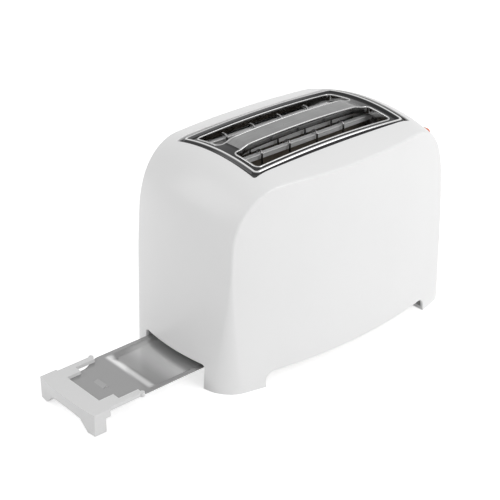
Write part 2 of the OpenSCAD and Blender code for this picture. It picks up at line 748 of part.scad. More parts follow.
module magnet_coil() {
  z0 = base_top + 4 + seat;
  color([0.72, 0.42, 0.2]) for (s = [-1, 1]) difference() {
    box(rod_x - 7, rod_x + 5, magnet_y + s * 8 - 5.4, magnet_y + s * 8 + 5.4, z0, magnet_top - 4);
    box(rod_x - 4 - seat, rod_x + 2 + seat, magnet_y + s * 8 - 2.5 - seat, magnet_y + s * 8 + 2.5 + seat,
      z0 - 1, magnet_top);
  }
}

module dial_knob() {
  color([0.92, 0.92, 0.92]) difference() {
    union() {
      rod_x(dial_floor + 0.3, dial_floor + 9, 0, control_height, dial_radius);
      rod_x(dial_floor + 8, dial_floor + 10, 0, control_height, dial_radius - 1.2);
      box(dial_floor + 9, dial_floor + 14, -2.6, 2.6, control_height - dial_radius + 1.6,
        control_height + dial_radius - 1.6);
    }
    rod_x(dial_floor - 1, dial_floor + 8, 0, control_height, rod_r + 0.02);
    // pointer groove
    box(dial_floor + 13.4, dial_floor + 15, -0.6, 0.6, control_height + 4, control_height + dial_radius);
  }
}

module dial_shaft() {
  color([0.7, 0.7, 0.72]) rod_x(board_x + board_thick + 4, dial_floor + 8 - seat, 0, control_height, rod_r);
}

module potentiometer() {
  color([0.3, 0.3, 0.32]) difference() {
    union() {
      rod_x(board_x + board_thick + seat, board_x + board_thick + 8, 0, control_height, 8);
      rod_x(board_x + board_thick + 7, board_x + board_thick + 11, 0, control_height, 4.5);
    }
    rod_x(board_x + board_thick + 3.6, board_x + 30, 0, control_height, rod_r + 0.06);
  }
}

module cancel_button() {
  face = half_l - control_height * lean_slope - 2.2 + 2.4;
  color([0.92, 0.92, 0.92]) union() {
    rod_x(board_x + board_thick + 8, face, button_y, control_height, button_radius - 0.1);
    rod_x(face - 1, face + 0.8, button_y, control_height, button_radius - 1);
    rod_x(dial_floor - 9.4, dial_floor - 7.3, button_y, control_height, button_radius + 2);
  }
}

module cancel_switch() {
  x0 = board_x + board_thick + seat;
  color([0.15, 0.15, 0.16]) union() {
    box(x0, x0 + 4, button_y - 3.5, button_y + 3.5, control_height - 3.5, control_height + 3.5);
    rod_x(x0 + 3, x0 + 5.4, button_y, control_height, 1.7);
  }
}

// circuit board standing in the grooves of the base posts
module control_board() {
  color([0.2, 0.42, 0.26]) difference() {
    box(board_x, board_x + board_thick, -board_half - 4, board_half, base_top + 8 + seat,
      control_height + 16);
    for (y = [2 - board_half, board_half - 5]) rod_x(board_x - 1, board_x + 4, y, control_height + 10, 1.6);
  }
}

// everything moved together, so that the origin lies under the middle of the whole
module placed() {
  translate([origin_shift, 0, 0]) children();
}

placed() housing();
placed() slot_frame();
placed() base_plate();
placed() base_screws();
placed() cord_gland();
placed() tray_pan();
placed() tray_handle();
placed() tray_rails();
placed() chassis_tray_end();
placed() chassis_lever_end();
placed() side_reflectors();
placed() outer_heater_boards();
placed() centre_heater_board();
placed() outer_heater_ribbons();
placed() centre_heater_ribbons();
placed() guard_rails();
placed() guard_wires();
placed() bread_racks();
placed() carriage();
placed() lever_knob();
placed() guide_rod();
placed() return_spring();
placed() rod_bracket();
placed() latch_keeper();
placed() magnet_core();
placed() magnet_coil();
placed() dial_knob();
placed() dial_shaft();
placed() potentiometer();
placed() cancel_button();
placed() cancel_switch();
placed() control_board();
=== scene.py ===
"""Looks of the pop-up toaster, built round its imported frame.

Metres. The origin lies on the ground under the middle of the whole; the body's middle is at x = CX.
"""

import json
import math

import bmesh
import bpy
import numpy as np
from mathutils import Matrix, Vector


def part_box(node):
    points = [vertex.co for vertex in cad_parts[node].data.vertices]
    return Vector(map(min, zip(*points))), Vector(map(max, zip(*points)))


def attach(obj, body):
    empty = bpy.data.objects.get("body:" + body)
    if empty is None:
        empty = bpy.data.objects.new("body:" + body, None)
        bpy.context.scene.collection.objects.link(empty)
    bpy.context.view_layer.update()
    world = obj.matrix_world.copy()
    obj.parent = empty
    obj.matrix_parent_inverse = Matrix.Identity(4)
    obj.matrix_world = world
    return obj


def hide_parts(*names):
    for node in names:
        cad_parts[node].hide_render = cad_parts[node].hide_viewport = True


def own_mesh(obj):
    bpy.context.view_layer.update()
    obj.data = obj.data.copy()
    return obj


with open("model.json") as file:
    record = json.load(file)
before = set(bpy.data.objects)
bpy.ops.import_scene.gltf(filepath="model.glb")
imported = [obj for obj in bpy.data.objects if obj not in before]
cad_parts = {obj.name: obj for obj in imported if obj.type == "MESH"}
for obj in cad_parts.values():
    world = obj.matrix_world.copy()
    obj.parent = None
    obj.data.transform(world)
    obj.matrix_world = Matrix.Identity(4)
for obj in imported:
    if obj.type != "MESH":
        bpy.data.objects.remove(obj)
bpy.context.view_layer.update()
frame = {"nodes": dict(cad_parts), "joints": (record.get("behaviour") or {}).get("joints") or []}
NODES = frame["nodes"]

MM = 0.001
# name of the numbers that say where light and shade are painted on a mesh
PAINTED_LIGHT_ATTRIBUTE = "painted_light"
LEVER_RANGE = next(j for j in frame["joints"] if j["name"] == "lever_slide")["range_m"]


def box_centre(node):
    lo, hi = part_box(node)
    return (lo + hi) / 2


# ---------------- driving sizes

# the slot frame lies over the middle of the body
FRAME_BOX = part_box("slot_frame")
CX = (FRAME_BOX[0].x + FRAME_BOX[1].x) / 2
FRAME_HALF_L = (FRAME_BOX[1].x - FRAME_BOX[0].x) / 2
FRAME_HALF_W = (FRAME_BOX[1].y - FRAME_BOX[0].y) / 2

# outline of the arch: long top arc, shoulder, softer end arc and straight leg
BODY_LENGTH = 264 * MM
BODY_WIDTH = 156 * MM
BODY_HEIGHT = 180 * MM
WALL = 2.6 * MM
SHOULDER_R = 53 * MM
END_R = 80 * MM
CROWN_R = 207 * MM
SIDE_R = 410 * MM
SIDE_CLEARANCE = 12.4 * MM
END_LEAN = math.radians(4.3)
SIDE_LEAN = math.radians(2.2)
TOP_TURN = math.radians(2.2)
SHOULDER_TURN = math.radians(67)
END_TURN = math.pi / 2 - END_LEAN
HALF_L = BODY_LENGTH / 2
# how far the skins run below the ground before they are cut level
BELOW = 8 * MM

# crease between the band and the sides: radius above, and how much softer it gets at the ground
CREASE_R = 1.3 * MM
FOOT_SOFTNESS = 11.5 * MM
SOFT_BELOW = 100 * MM

RECESS_DEPTH = 2 * MM
SHEET = 0.8 * MM
SLOT_HALF_L = 72 * MM
SLOT_IN = 9 * MM
SLOT_OUT = 36 * MM
SLOT_CORNER = 4 * MM
BEAD_L = 78.8 * MM
BEAD_W = 42.2 * MM
BEAD_BEND = 3.2 * MM
BEAD_RISE = 2.1 * MM
BEAD_REACH = 2.9 * MM
BRIDGE_RISE = 2.2 * MM
BRIDGE_FLAT = 56 * MM
BRIDGE_FOOT = 68 * MM

FOOT_FROM_X = HALF_L - 42 * MM
FOOT_HALF_W = 37 * MM
NOTCH_R = 8 * MM
FOOT_PAD = 3 * MM
DOOR_GAP = 0.9 * MM
DOOR_CORNER = 3 * MM
# rounding of the edges round the larger openings
LIP = 0.8 * MM

# posts for the base screws, and the rim that carries the slot frame
POST_X = 84 * MM
POST_Y = 48 * MM
POST_HALF = 6 * MM
POST_Z = (15.9 * MM, 39.9 * MM)
RIM_OUT = 4 * MM
RIM_UNDER = 3.2 * MM
RIM_UP = 30 * MM

# controls: places from the frame, holes in the housing
DIAL = box_centre("dial_knob")
DIAL_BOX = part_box("dial_knob")
DIAL_R = (DIAL_BOX[1].y - DIAL_BOX[0].y) / 2
POCKET_FLOOR = DIAL_BOX[0].x - CX - 0.3 * MM
DIAL_GAP = 0.6 * MM
SHAFT_HOLE_R = 3.3 * MM
BUTTON = box_centre("cancel_button")
BUTTON_R = 6 * MM
BUTTON_GAP = 0.3 * MM
GLAND = box_centre("cord_gland")
CORD_R = 5.2 * MM
LEVER_SLOT_HALF_W = 3.5 * MM
LEVER_SLOT_PAST = 8.5 * MM


def direction(turn):
    """Unit vector in a plane, at a turn from upright."""
    return np.array([math.sin(turn), math.cos(turn)])


def arch_centres():
    """Centres and radii of the three arcs, from the lengths above."""
    sin, cos, lean = math.sin, math.cos, math.tan(END_LEAN)
    reach = HALF_L - SHOULDER_R * (sin(SHOULDER_TURN) - sin(TOP_TURN)) \
        - END_R * (sin(END_TURN) - sin(SHOULDER_TURN))
    rise = BODY_HEIGHT - SHOULDER_R * (cos(TOP_TURN) - cos(SHOULDER_TURN)) \
        - END_R * (cos(SHOULDER_TURN) - cos(END_TURN))
    top_r = (reach - lean * rise) / (sin(TOP_TURN) - lean * (1 - cos(TOP_TURN)))
    top = np.array([0, BODY_HEIGHT - top_r])
    shoulder = top + (top_r - SHOULDER_R) * direction(TOP_TURN)
    end = shoulder + (SHOULDER_R - END_R) * direction(SHOULDER_TURN)
    return top, top_r, shoulder, end


TOP_C, TOP_R, SHOULDER_C, END_C = arch_centres()
LEG_NORMAL = direction(END_TURN)
LEG_TOP = END_C + END_R * LEG_NORMAL

FRAME_Z = BODY_HEIGHT - RECESS_DEPTH
FRAME_SAG = BODY_HEIGHT - SHOULDER_C[1] - math.sqrt(SHOULDER_R ** 2 - (FRAME_HALF_L - SHOULDER_C[0]) ** 2)
FRAME_R = (FRAME_HALF_L ** 2 + FRAME_SAG ** 2) / (2 * FRAME_SAG)

# ---------------- the body as a field


def crown_drop(y):
    return CROWN_R - np.sqrt(CROWN_R ** 2 - y ** 2)


def profile_distance(x, z):
    """Distance outside the arch in the plane y = 0."""
    x = np.abs(x)

    def arc(centre, radius):
        return np.hypot(x - centre[0], z - centre[1]) - radius

    def turned(centre):
        return np.arctan2(np.maximum(x - centre[0], 0), z - centre[1])

    leg = (x - LEG_TOP[0]) * LEG_NORMAL[0] + (z - LEG_TOP[1]) * LEG_NORMAL[1]
    d = np.where(turned(END_C) < END_TURN, arc(END_C, END_R), leg)
    d = np.where(turned(SHOULDER_C) < SHOULDER_TURN, arc(SHOULDER_C, SHOULDER_R), d)
    return np.where(turned(TOP_C) < TOP_TURN, arc(TOP_C, TOP_R), d)


def side_distance(x, y, z):
    """Distance outside the two leaning side cylinders."""
    axis_y = SIDE_R / math.cos(SIDE_LEAN) - BODY_WIDTH / 2
    across = (-np.abs(y) - axis_y) * math.cos(SIDE_LEAN) - z * math.sin(SIDE_LEAN)
    return np.hypot(x, across) - SIDE_R


def body_field(p, inset=0.0):
    """Signed distance outside the body moved in by inset; its crease is softer towards the ground."""
    x, y, z = p[..., 0], p[..., 1], p[..., 2]
    a = profile_distance(x, z) + crown_drop(y) + inset
    b = side_distance(x, y, z) + inset
    soft = np.clip((SOFT_BELOW - z) / SOFT_BELOW, 0, 1.1)
    r = CREASE_R + FOOT_SOFTNESS * soft ** 1.25
    return np.minimum(np.maximum(a, b), -r) + np.hypot(np.maximum(a + r, 0), np.maximum(b + r, 0))


def body_gradient(p, inset=0.0):
    step = 0.01 * MM
    g = np.empty_like(p)
    for i in range(3):
        shift = np.zeros(3)
        shift[i] = step
        g[..., i] = (body_field(p + shift, inset) - body_field(p - shift, inset)) / (2 * step)
    return g


def body_normals(p):
    g = body_gradient(p)
    return g / np.linalg.norm(g, axis=-1, keepdims=True)


def last_before(count, low, high, past, halvings=40):
    """For each of count searches between low and high, the last place that isn't past the surface."""
    low, high = np.full(count, low), np.full(count, high)
    for _ in range(halvings):
        mid = (low + high) / 2
        over = past(mid)
        low, high = np.where(over, low, mid), np.where(over, mid, high)
    return low


def hit(start, ray):
    """Where rays that start outside the body first meet its surface."""
    ray = np.asarray(ray, float)

    def inside(reach):
        return body_field(start + reach[:, None] * ray) <= 0

    return start + last_before(len(start), 0.0, 120 * MM, inside)[:, None] * ray


# ---------------- meshes


def new_object(name, verts, faces, centred=True):
    """An object from vertices given from the middle of the body, or from the origin."""
    verts = np.array(verts, float)
    if centred:
        verts[:, 0] += CX
    mesh = bpy.data.meshes.new(name)
    mesh.from_pydata(verts.tolist(), [], [list(f) for f in faces])
    bm = bmesh.new()
    bm.from_mesh(mesh)
    bmesh.ops.recalc_face_normals(bm, faces=bm.faces)
    bm.to_mesh(mesh)
    bm.free()
    obj = bpy.data.objects.new(name, mesh)
    bpy.context.scene.collection.objects.link(obj)
    return obj


def modify(obj, kind, **settings):
    mod = obj.modifiers.new(kind.lower(), kind)
    for key, value in settings.items():
        setattr(mod, key, value)


def apply_modifiers(obj):
    dg = bpy.context.evaluated_depsgraph_get()
    dg.update()
    mesh = bpy.data.meshes.new_from_object(obj.evaluated_get(dg), depsgraph=dg)
    obj.modifiers.clear()
    old = obj.data
    obj.data = mesh
    bpy.data.meshes.remove(old)


def cut(obj, tools, operation="DIFFERENCE"):
    """Boolean of obj with each tool; the tools are used up."""
    for tool in tools:
        modify(obj, "BOOLEAN", operation=operation, solver="MANIFOLD", object=tool)
    apply_modifiers(obj)
    for tool in tools:
        mesh = tool.data
        bpy.data.objects.remove(tool)
        bpy.data.meshes.remove(mesh)


def loft(rings, caps=None):
    """Faces between equal closed rings of points; caps are the two points that close its ends."""
    rings = [np.asarray(r, float) for r in rings]
    n = len(rings[0])
    verts = np.concatenate(rings)
    faces = []
    for k in range(len(rings) - 1):
        for i in range(n):
            j = (i + 1) % n
            faces.append((k * n + i, k * n + j, (k + 1) * n + j, (k + 1) * n + i))
    if caps is not None:
        for base, point in ((0, caps[0]), ((len(rings) - 1) * n, caps[1])):
            verts = np.vstack([verts, point])
            hub = len(verts) - 1
            faces += [(base + i, base + (i + 1) % n, hub) for i in range(n)]
    return verts, faces


def merged(parts):
    """Vertices and faces of several forms as one."""
    verts, faces = [], []
    for v, f in parts:
        faces += [[i + len(verts) for i in face] for face in f]
        verts += v.tolist()
    return verts, faces


def grid_sheet(name, top, thickness):
    """A closed sheet under a grid of points."""
    flat = top.reshape(-1, 3)
    n = len(flat)
    index = np.arange(n).reshape(top.shape[:2])
    quads = np.stack([index[:-1, :-1], index[1:, :-1], index[1:, 1:], index[:-1, 1:]], -1).reshape(-1, 4)
    rim = np.concatenate([index[:-1, 0], index[-1, :-1], index[:0:-1, -1], index[0, :0:-1]])
    walls = np.stack([rim, np.roll(rim, -1), np.roll(rim, -1) + n, rim + n], -1)
    faces = np.concatenate([quads, quads[:, ::-1] + n, walls])
    return new_object(name, np.vstack([flat, flat - (0, 0, thickness)]), faces.tolist())


def rounded_outline(half_u, half_v, r, centre=(0.0, 0.0), pitch=3 * MM, arc=8):
    """Points of a rounded rectangle and their outward directions, in its own plane."""
    points, normals = [], []
    for k in range(4):
        a0 = k * math.pi / 2
        su, sv = ((1, 1), (-1, 1), (-1, -1), (1, -1))[k]
        c = np.array([su * (half_u - r), sv * (half_v - r)])
        for i in range(arc + 1):
            a = a0 + i * math.pi / 2 / arc
            n = np.array([math.cos(a), math.sin(a)])
            points.append(c + r * n)
            normals.append(n)
        # straight side up to the next corner
        nu, nv = ((-1, 1), (-1, -1), (1, -1), (1, 1))[k]
        end = np.array([nu * (half_u - r), nv * (half_v - r)]) + r * n
        steps = int(np.linalg.norm(end - points[-1]) / pitch)
        start = points[-1]
        for i in range(1, steps):
            points.append(start + (end - start) * i / steps)
            normals.append(n)
    keep = [i for i in range(len(points)) if np.linalg.norm(points[i] - points[i - 1]) > 1e-7]
    return np.array(points)[keep] + np.array(centre), np.array(normals)[keep]


def circle_outline(r, u, v, arc=12):
    return rounded_outline(r, r, r, (u, v), arc=arc)


# for each side that an outline is seen from: its two axes, the axis into the body, and the side's sign
AXES = {
    "-x": (1, 2, 0, -1), "+x": (1, 2, 0, 1), "-y": (0, 2, 1, -1), "+y": (0, 2, 1, 1), "+z": (0, 1, 2, 1),
}


def lip_tool(name, outline, axis, depth, lip, apex=20 * MM):
    """A cutter that enters the body through an outline seen from one side, and rounds the edge there."""
    u, v, w, sign = AXES[axis]
    flat, flat_n = outline
    start = np.zeros((len(flat), 3))
    start[:, u], start[:, v] = flat[:, 0], flat[:, 1]
    start[:, w] = sign * {0: HALF_L + 10 * MM, 1: BODY_WIDTH / 2 + 10 * MM, 2: BODY_HEIGHT + 10 * MM}[w]
    inward = np.zeros(3)
    inward[w] = -sign
    on = hit(start, inward)
    n = body_normals(on)
    m = np.zeros_like(on)
    m[:, u], m[:, v] = flat_n[:, 0], flat_n[:, 1]
    m -= np.sum(m * n, axis=1, keepdims=True) * n
    m /= np.linalg.norm(m, axis=1, keepdims=True)
    rings = [on + 1.25 * lip * m + 0.12 * lip * n]
    for turn in np.radians([25, 45, 65, 90]):
        rings.append(on + lip * (1 - math.sin(turn)) * m - lip * (1 - math.cos(turn)) * n)
    rings.append(depth(on) if callable(depth) else on + depth * inward)
    outer, inner = rings[0].mean(axis=0) - apex * inward, rings[-1].mean(axis=0)
    return new_object(name, *loft(rings, caps=(outer, inner)))


def prism_z(name, outline, z0, z1):
    rings = [np.column_stack([outline, np.full(len(outline), z)]) for z in (z0, z1)]
    mid = outline.mean(axis=0)
    return new_object(name, *loft(rings, caps=((*mid, z0), (*mid, z1))))


def block(name, x0, x1, y0, y1, z0, z1):
    return prism_z(name, np.array([(x0, y0), (x1, y0), (x1, y1), (x0, y1)]), z0, z1)


def turned_form(name, profile, axis, centre, sides, flutes=0):
    """A form turned about an axis; profile holds (place along it, radius, depth of the flutes there)."""
    w = "xyz".index(axis)
    u, v = [k for k in range(3) if k != w]
    angles = np.linspace(0, 2 * math.pi, sides, endpoint=False)
    rings, ends = [], []
    for along, radius, depth in profile:
        r = radius - depth * (0.5 + 0.5 * np.cos(flutes * angles)) ** 2
        ring = np.zeros((sides, 3))
        ring[:, w] = along
        ring[:, u], ring[:, v] = centre[0] + r * np.cos(angles), centre[1] + r * np.sin(angles)
        rings.append(ring)
    for along, _, _ in (profile[0], profile[-1]):
        end = np.zeros(3)
        end[w], end[u], end[v] = along, centre[0], centre[1]
        ends.append(end)
    return new_object(name, *loft(rings, caps=ends))


def round_bar(name, x0, x1, y, z, r):
    return turned_form(name, [(x0, r, 0), (x1, r, 0)], "x", (y, z), 48)


def paint(obj, *materials):
    obj.data.materials.clear()
    for mat in materials:
        obj.data.materials.append(mat)


def read(items, attribute, width=0, kind=float):
    """One number, or one row of width numbers, from each item of a mesh."""
    values = np.empty(len(items) * max(width, 1), kind)
    items.foreach_get(attribute, values)
    return values.reshape(-1, width) if width else values


def vertex_points(obj):
    """The mesh's vertices, measured from the middle of the body."""
    return read(obj.data.vertices, "co", 3) - (CX, 0, 0)


def shade(obj, angle):
    """Smooth shading with sharp edges above an angle."""
    obj.data.shade_smooth()
    obj.data.set_sharp_from_angle(angle=math.radians(angle))


def finish(obj, mat, angle=40):
    shade(obj, angle)
    paint(obj, mat)


def shade_from(obj, field_normals, on_surface):
    """Smooth shading, with the true normals of a formula wherever a corner lies on its surface."""
    shade(obj, 35)
    mesh = obj.data
    co = vertex_points(obj)
    vert = read(mesh.loops, "vertex_index", kind=np.int32)
    corner = read(mesh.corner_normals, "vector", 3)
    totals = read(mesh.polygons, "loop_total", kind=np.int32)
    flat = np.repeat(read(mesh.polygons, "normal", 3), totals, axis=0)
    true = field_normals(co)[vert]
    on = on_surface(co)[vert] & (np.sum(true * flat, axis=1) > 0.9)
    corner[on] = true[on]
    mesh.normals_split_custom_set(corner.tolist())


# ---------------- housing

CREASE_STEPS = np.array([0, .25, .5, .8, 1.2, 1.8, 2.6, 3.8, 5.5, 8, 11, 15, 20, 26, 33, 41, 50])
SIDE_STEPS = np.concatenate([CREASE_STEPS, [60, 71, 83, 96, 110, 125, 141, 158]])


def arch_columns():
    """Points along the arch from the ground at one end to the ground at the other, and their normals."""
    leg_end = LEG_TOP[1] + BELOW
    points, normals = [], []
    for down in np.linspace(leg_end / math.cos(END_LEAN), 0, 30)[:-1]:
        points.append(LEG_TOP + down * np.array([LEG_NORMAL[1], -LEG_NORMAL[0]]))
        normals.append(LEG_NORMAL)
    arcs = ((END_C, END_R, END_TURN, SHOULDER_TURN, 10),
            (SHOULDER_C, SHOULDER_R, SHOULDER_TURN, TOP_TURN, 36),
            (TOP_C, TOP_R, TOP_TURN, 0, 22))
    for centre, radius, t0, t1, steps in arcs:
        for t in np.linspace(t0, t1, steps + 1)[:-1]:
            n = direction(t)
            points.append(centre + radius * n)
            normals.append(n)
    points, normals = np.array(points), np.array(normals)
    return (np.concatenate([points * (-1, 1), [[0, BODY_HEIGHT]], points[::-1]]),
            np.concatenate([normals * (-1, 1), [[0, 1]], normals[::-1]]))


def crease_half_width(points, normals, inset):
    """Half width of the band at each column, where it meets the side panel."""
    def outside(y):
        on = points - (crown_drop(y) + inset)[:, None] * normals
        return side_distance(on[:, 0], y, on[:, 1]) + inset > 0

    return last_before(len(points), 30 * MM, 90 * MM, outside)


def body_skin(name, inset):
    """The whole body as one closed skin, moved in by inset, with its rows from side to side over the arch."""
    points, normals = arch_columns()
    half = crease_half_width(points, normals, inset)
    rows = []
    for step in CREASE_STEPS / CREASE_STEPS[-1]:
        y = half * (1 - step)
        on = points - (crown_drop(y) + inset)[:, None] * normals
        rows.append(np.column_stack([on[:, 0], y, on[:, 1]]))
    crease = rows[0]
    along = np.linspace(-0.93, 0.93, len(points)) * HALF_L
    foot = np.column_stack([along, np.full(len(points), -BELOW)])
    sides = []
    for t in (SIDE_STEPS / SIDE_STEPS[-1])[1:]:
        xz = crease[:, [0, 2]] * (1 - t) + foot * t
        y = BODY_WIDTH / 2 - SIDE_R / math.cos(SIDE_LEAN) - xz[:, 1] * math.tan(SIDE_LEAN) \
            + np.sqrt((SIDE_R - inset) ** 2 - xz[:, 0] ** 2) / math.cos(SIDE_LEAN)
        sides.append(np.column_stack([xz[:, 0], y, xz[:, 1]]))
    upper = np.array(sides[::-1] + rows)
    grid = np.concatenate([upper, upper[-2::-1] * (1, -1, 1)])
    for _ in range(8):
        g = body_gradient(grid, inset)
        grid -= (body_field(grid, inset) / np.sum(g * g, axis=-1))[..., None] * g
    n_rows, n_cols = grid.shape[:2]
    index = np.arange(n_rows * n_cols).reshape(n_rows, n_cols)
    quads = np.stack([index[:-1, :-1], index[:-1, 1:], index[1:, 1:], index[1:, :-1]], -1).reshape(-1, 4)
    rim = np.concatenate([index[0, :-1], index[:-1, -1], index[-1, :0:-1], index[:0:-1, 0]])
    verts = np.vstack([grid.reshape(-1, 3), [0, 0, -BELOW]])
    fan = [(a, b, len(verts) - 1) for a, b in zip(rim, np.roll(rim, -1))]
    return new_object(name, verts, quads.tolist() + fan)


def frame_datum(x, y):
    """Height of the arched and crowned face of the slot frame."""
    return FRAME_Z - FRAME_R + np.sqrt((FRAME_R - crown_drop(y)) ** 2 - x ** 2)


def notch_outline(half, top, corner):
    """An arch-shaped opening that runs out through the ground."""
    depth = 30 * MM
    return rounded_outline(half, (top + depth) / 2, corner, (0, (top - depth) / 2), 4 * MM)


def inner_solids():
    """What stays solid inside: foot pads, screw posts, seats of the controls, rim under the slot frame."""
    solids = []
    for sx in (-1, 1):
        for sy in (-1, 1):
            x0, x1 = sorted((sx * (HALF_L + 5 * MM), sx * (FOOT_FROM_X - 6 * MM)))
            y0, y1 = sorted((sy * BODY_WIDTH / 2, sy * FOOT_HALF_W))
            solids.append(block("pad", x0, x1, y0, y1, -2 * BELOW, FOOT_PAD))
            x = sx * POST_X
            y0, y1 = sorted((sy * POST_Y, sy * BODY_WIDTH / 2))
            solids.append(block("post", x - POST_HALF, x + POST_HALF, y0, y1, *POST_Z))
    seats = (("dial_seat", POCKET_FLOOR - 5 * MM, HALF_L, 0, DIAL.z, DIAL_R + 3.5 * MM),
             ("button_seat", POCKET_FLOOR - 7 * MM, HALF_L + 1 * MM, BUTTON.y, BUTTON.z, BUTTON_R + 2.5 * MM),
             ("gland_seat", HALF_L - 16 * MM, HALF_L + 1.5 * MM, GLAND.y, GLAND.z, 8 * MM))
    solids += [round_bar(*seat) for seat in seats]
    rim, _ = rounded_outline(FRAME_HALF_L + RIM_OUT, FRAME_HALF_W + RIM_OUT, RIM_OUT, pitch=4 * MM)
    rim_z = frame_datum(rim[:, 0], rim[:, 1]) - RIM_UNDER
    rings = [np.column_stack([rim, rim_z]), np.column_stack([rim, rim_z + RIM_UP])]
    caps = ((0, 0, FRAME_Z - RIM_UNDER), (0, 0, FRAME_Z + RIM_UP))
    return solids + [new_object("rim", *loft(rings, caps=caps))]


def frame_openings():
    """Recess that takes the slot frame, and the hole under it."""
    def recess_floor(on):
        return np.column_stack([on[:, :2], frame_datum(on[:, 0], on[:, 1]) - SHEET - 0.05 * MM])

    recess = rounded_outline(FRAME_HALF_L + 0.4 * MM, FRAME_HALF_W + 0.4 * MM, 2 * MM)
    hole, _ = rounded_outline(FRAME_HALF_L - 3 * MM, FRAME_HALF_W - 3 * MM, 6 * MM)
    return [lip_tool("recess", recess, "+z", recess_floor, LIP, apex=45 * MM),
            prism_z("hole", hole, 140 * MM, 210 * MM)]


def ground_openings():
    """Openings between the feet, and the doorway of the tray."""
    door_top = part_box("tray_handle")[1].z + DOOR_GAP
    gaps = (("side_gap", FOOT_FROM_X, SIDE_CLEARANCE, NOTCH_R, "-y", 14 * MM),
            ("side_gap", FOOT_FROM_X, SIDE_CLEARANCE, NOTCH_R, "+y", 14 * MM),
            ("end_gap", FOOT_HALF_W, SIDE_CLEARANCE, NOTCH_R, "+x", 14 * MM),
            ("doorway", FOOT_HALF_W, door_top, DOOR_CORNER, "-x", 20 * MM))
    return [lip_tool(name, notch_outline(half, top, corner), axis, depth, LIP)
            for name, half, top, corner, axis, depth in gaps]


def control_openings():
    """Lever slot, pocket and shaft hole of the dial, holes of the button and the cord."""
    low, high = LEVER_RANGE
    slot_half = (high - low) / 2 + LEVER_SLOT_PAST
    slot_mid = box_centre("lever_knob").z + (low + high) / 2

    def to_floor(on):
        return np.column_stack([np.full(len(on), POCKET_FLOOR), on[:, 1:]])

    slot = rounded_outline(LEVER_SLOT_HALF_W, slot_half, 3.4 * MM, (0, slot_mid))
    pocket = circle_outline(DIAL_R + DIAL_GAP, 0, DIAL.z, 16)
    button = circle_outline(BUTTON_R + BUTTON_GAP, BUTTON.y, BUTTON.z)
    cord = circle_outline(CORD_R, GLAND.y, GLAND.z)
    return [lip_tool("lever_slot", slot, "+x", 12 * MM, 0.9 * MM),
            lip_tool("dial_pocket", pocket, "+x", to_floor, 0.6 * MM),
            round_bar("shaft_hole", HALF_L - 40 * MM, HALF_L - 4 * MM, 0, DIAL.z, SHAFT_HOLE_R),
            lip_tool("button_hole", button, "+x", 30 * MM, 0.5 * MM),
            lip_tool("cord_hole", cord, "+x", 30 * MM, 0.5 * MM)]


def build_housing(white):
    shell = body_skin("housing_skin", 0)
    hollow = body_skin("housing_hollow", WALL)
    cut(hollow, inner_solids())
    past_end = HALF_L + 20 * MM
    ground = block("ground", -past_end, past_end, -100 * MM, 100 * MM, -50 * MM, 0)
    cut(shell, [hollow, ground] + frame_openings() + ground_openings() + control_openings())
    shade_from(shell, body_normals, lambda p: np.abs(body_field(p)) < 0.09 * MM)
    paint(shell, white)
    shell.name = "housing_shell"
    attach(shell, "body")
    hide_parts("housing")


# ---------------- slot frame


def outline_distance(x, y, half_x, half_y, r):
    """Signed distance from a rounded rectangle."""
    qx, qy = np.abs(x) - (half_x - r), np.abs(y) - (half_y - r)
    return np.hypot(np.maximum(qx, 0), np.maximum(qy, 0)) + np.minimum(np.maximum(qx, qy), 0) - r


def ease(t):
    t = np.clip(t, 0, 1)
    return t * t * (3 - 2 * t)


def frame_height(x, y):
    """Upper face of the slot frame: datum, round bead, bridge that rises between the slots."""
    across = np.clip(1 - (np.abs(outline_distance(x, y, BEAD_L, BEAD_W, BEAD_BEND)) / BEAD_REACH) ** 2, 0, 1)
    bead = BEAD_RISE * across ** 1.4
    along = ease((BRIDGE_FOOT - np.abs(x)) / (BRIDGE_FOOT - BRIDGE_FLAT))
    bridge = BRIDGE_RISE * along * ease((20 * MM - np.abs(y)) / (6 * MM))
    return frame_datum(x, y) + np.maximum(bead, bridge)


def frame_normals(p):
    step = 0.02 * MM
    x, y = p[:, 0], p[:, 1]
    dx = (frame_height(x + step, y) - frame_height(x - step, y)) / (2 * step)
    dy = (frame_height(x, y + step) - frame_height(x, y - step)) / (2 * step)
    n = np.column_stack([-dx, -dy, np.ones(len(p))])
    return n / np.linalg.norm(n, axis=1, keepdims=True)


def bead_painted_reflection(x, y):
    """Painted reflection on the steel: a painted highlight on the bead's crest, painted dark reflection on
    its flanks, the flat outside a little brighter.
    """
    out = outline_distance(x, y, BEAD_L, BEAD_W, BEAD_BEND) / BEAD_REACH
    crest = 1 - ease((np.abs(out) - 0.3) / 0.18)
    flat = ease((np.abs(out) - 0.6) / 0.3) * np.where(out > 0, 0.14, 0.02)
    return np.maximum(crest, flat)


def carry_painted_light(obj, values):
    """Keeps one number per vertex with the mesh, for its material to read."""
    layer = obj.data.attributes.new(PAINTED_LIGHT_ATTRIBUTE, "FLOAT", "POINT")
    layer.data.foreach_set("value", np.asarray(values, dtype=np.float32))


def slot_outline(side, grow):
    half_w = (SLOT_OUT - SLOT_IN) / 2
    return rounded_outline(SLOT_HALF_L + grow, half_w + grow, SLOT_CORNER + grow,
                           (0, side * (SLOT_IN + half_w)), 2 * MM)


# cross-section of the rolled edge round a slot: outwards from the slot, and upwards
LIP_SECTION = np.array([(1.1, -.35), (1.05, -.1), (.85, .14), (.5, .3), (.1, .32), (-.24, .2), (-.42, -.06),
                        (-.48, -.6), (-.48, -5.5), (-.02, -5.5), (.0, -1.2), (.35, -.62)]) * MM
# above this drop the section follows the plate; below it, it ends over the rails of the guards
LIP_FOLLOWS = -2 * MM
RAIL_GAP = 0.7 * MM
RAIL_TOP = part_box("guard_rails")[1].z


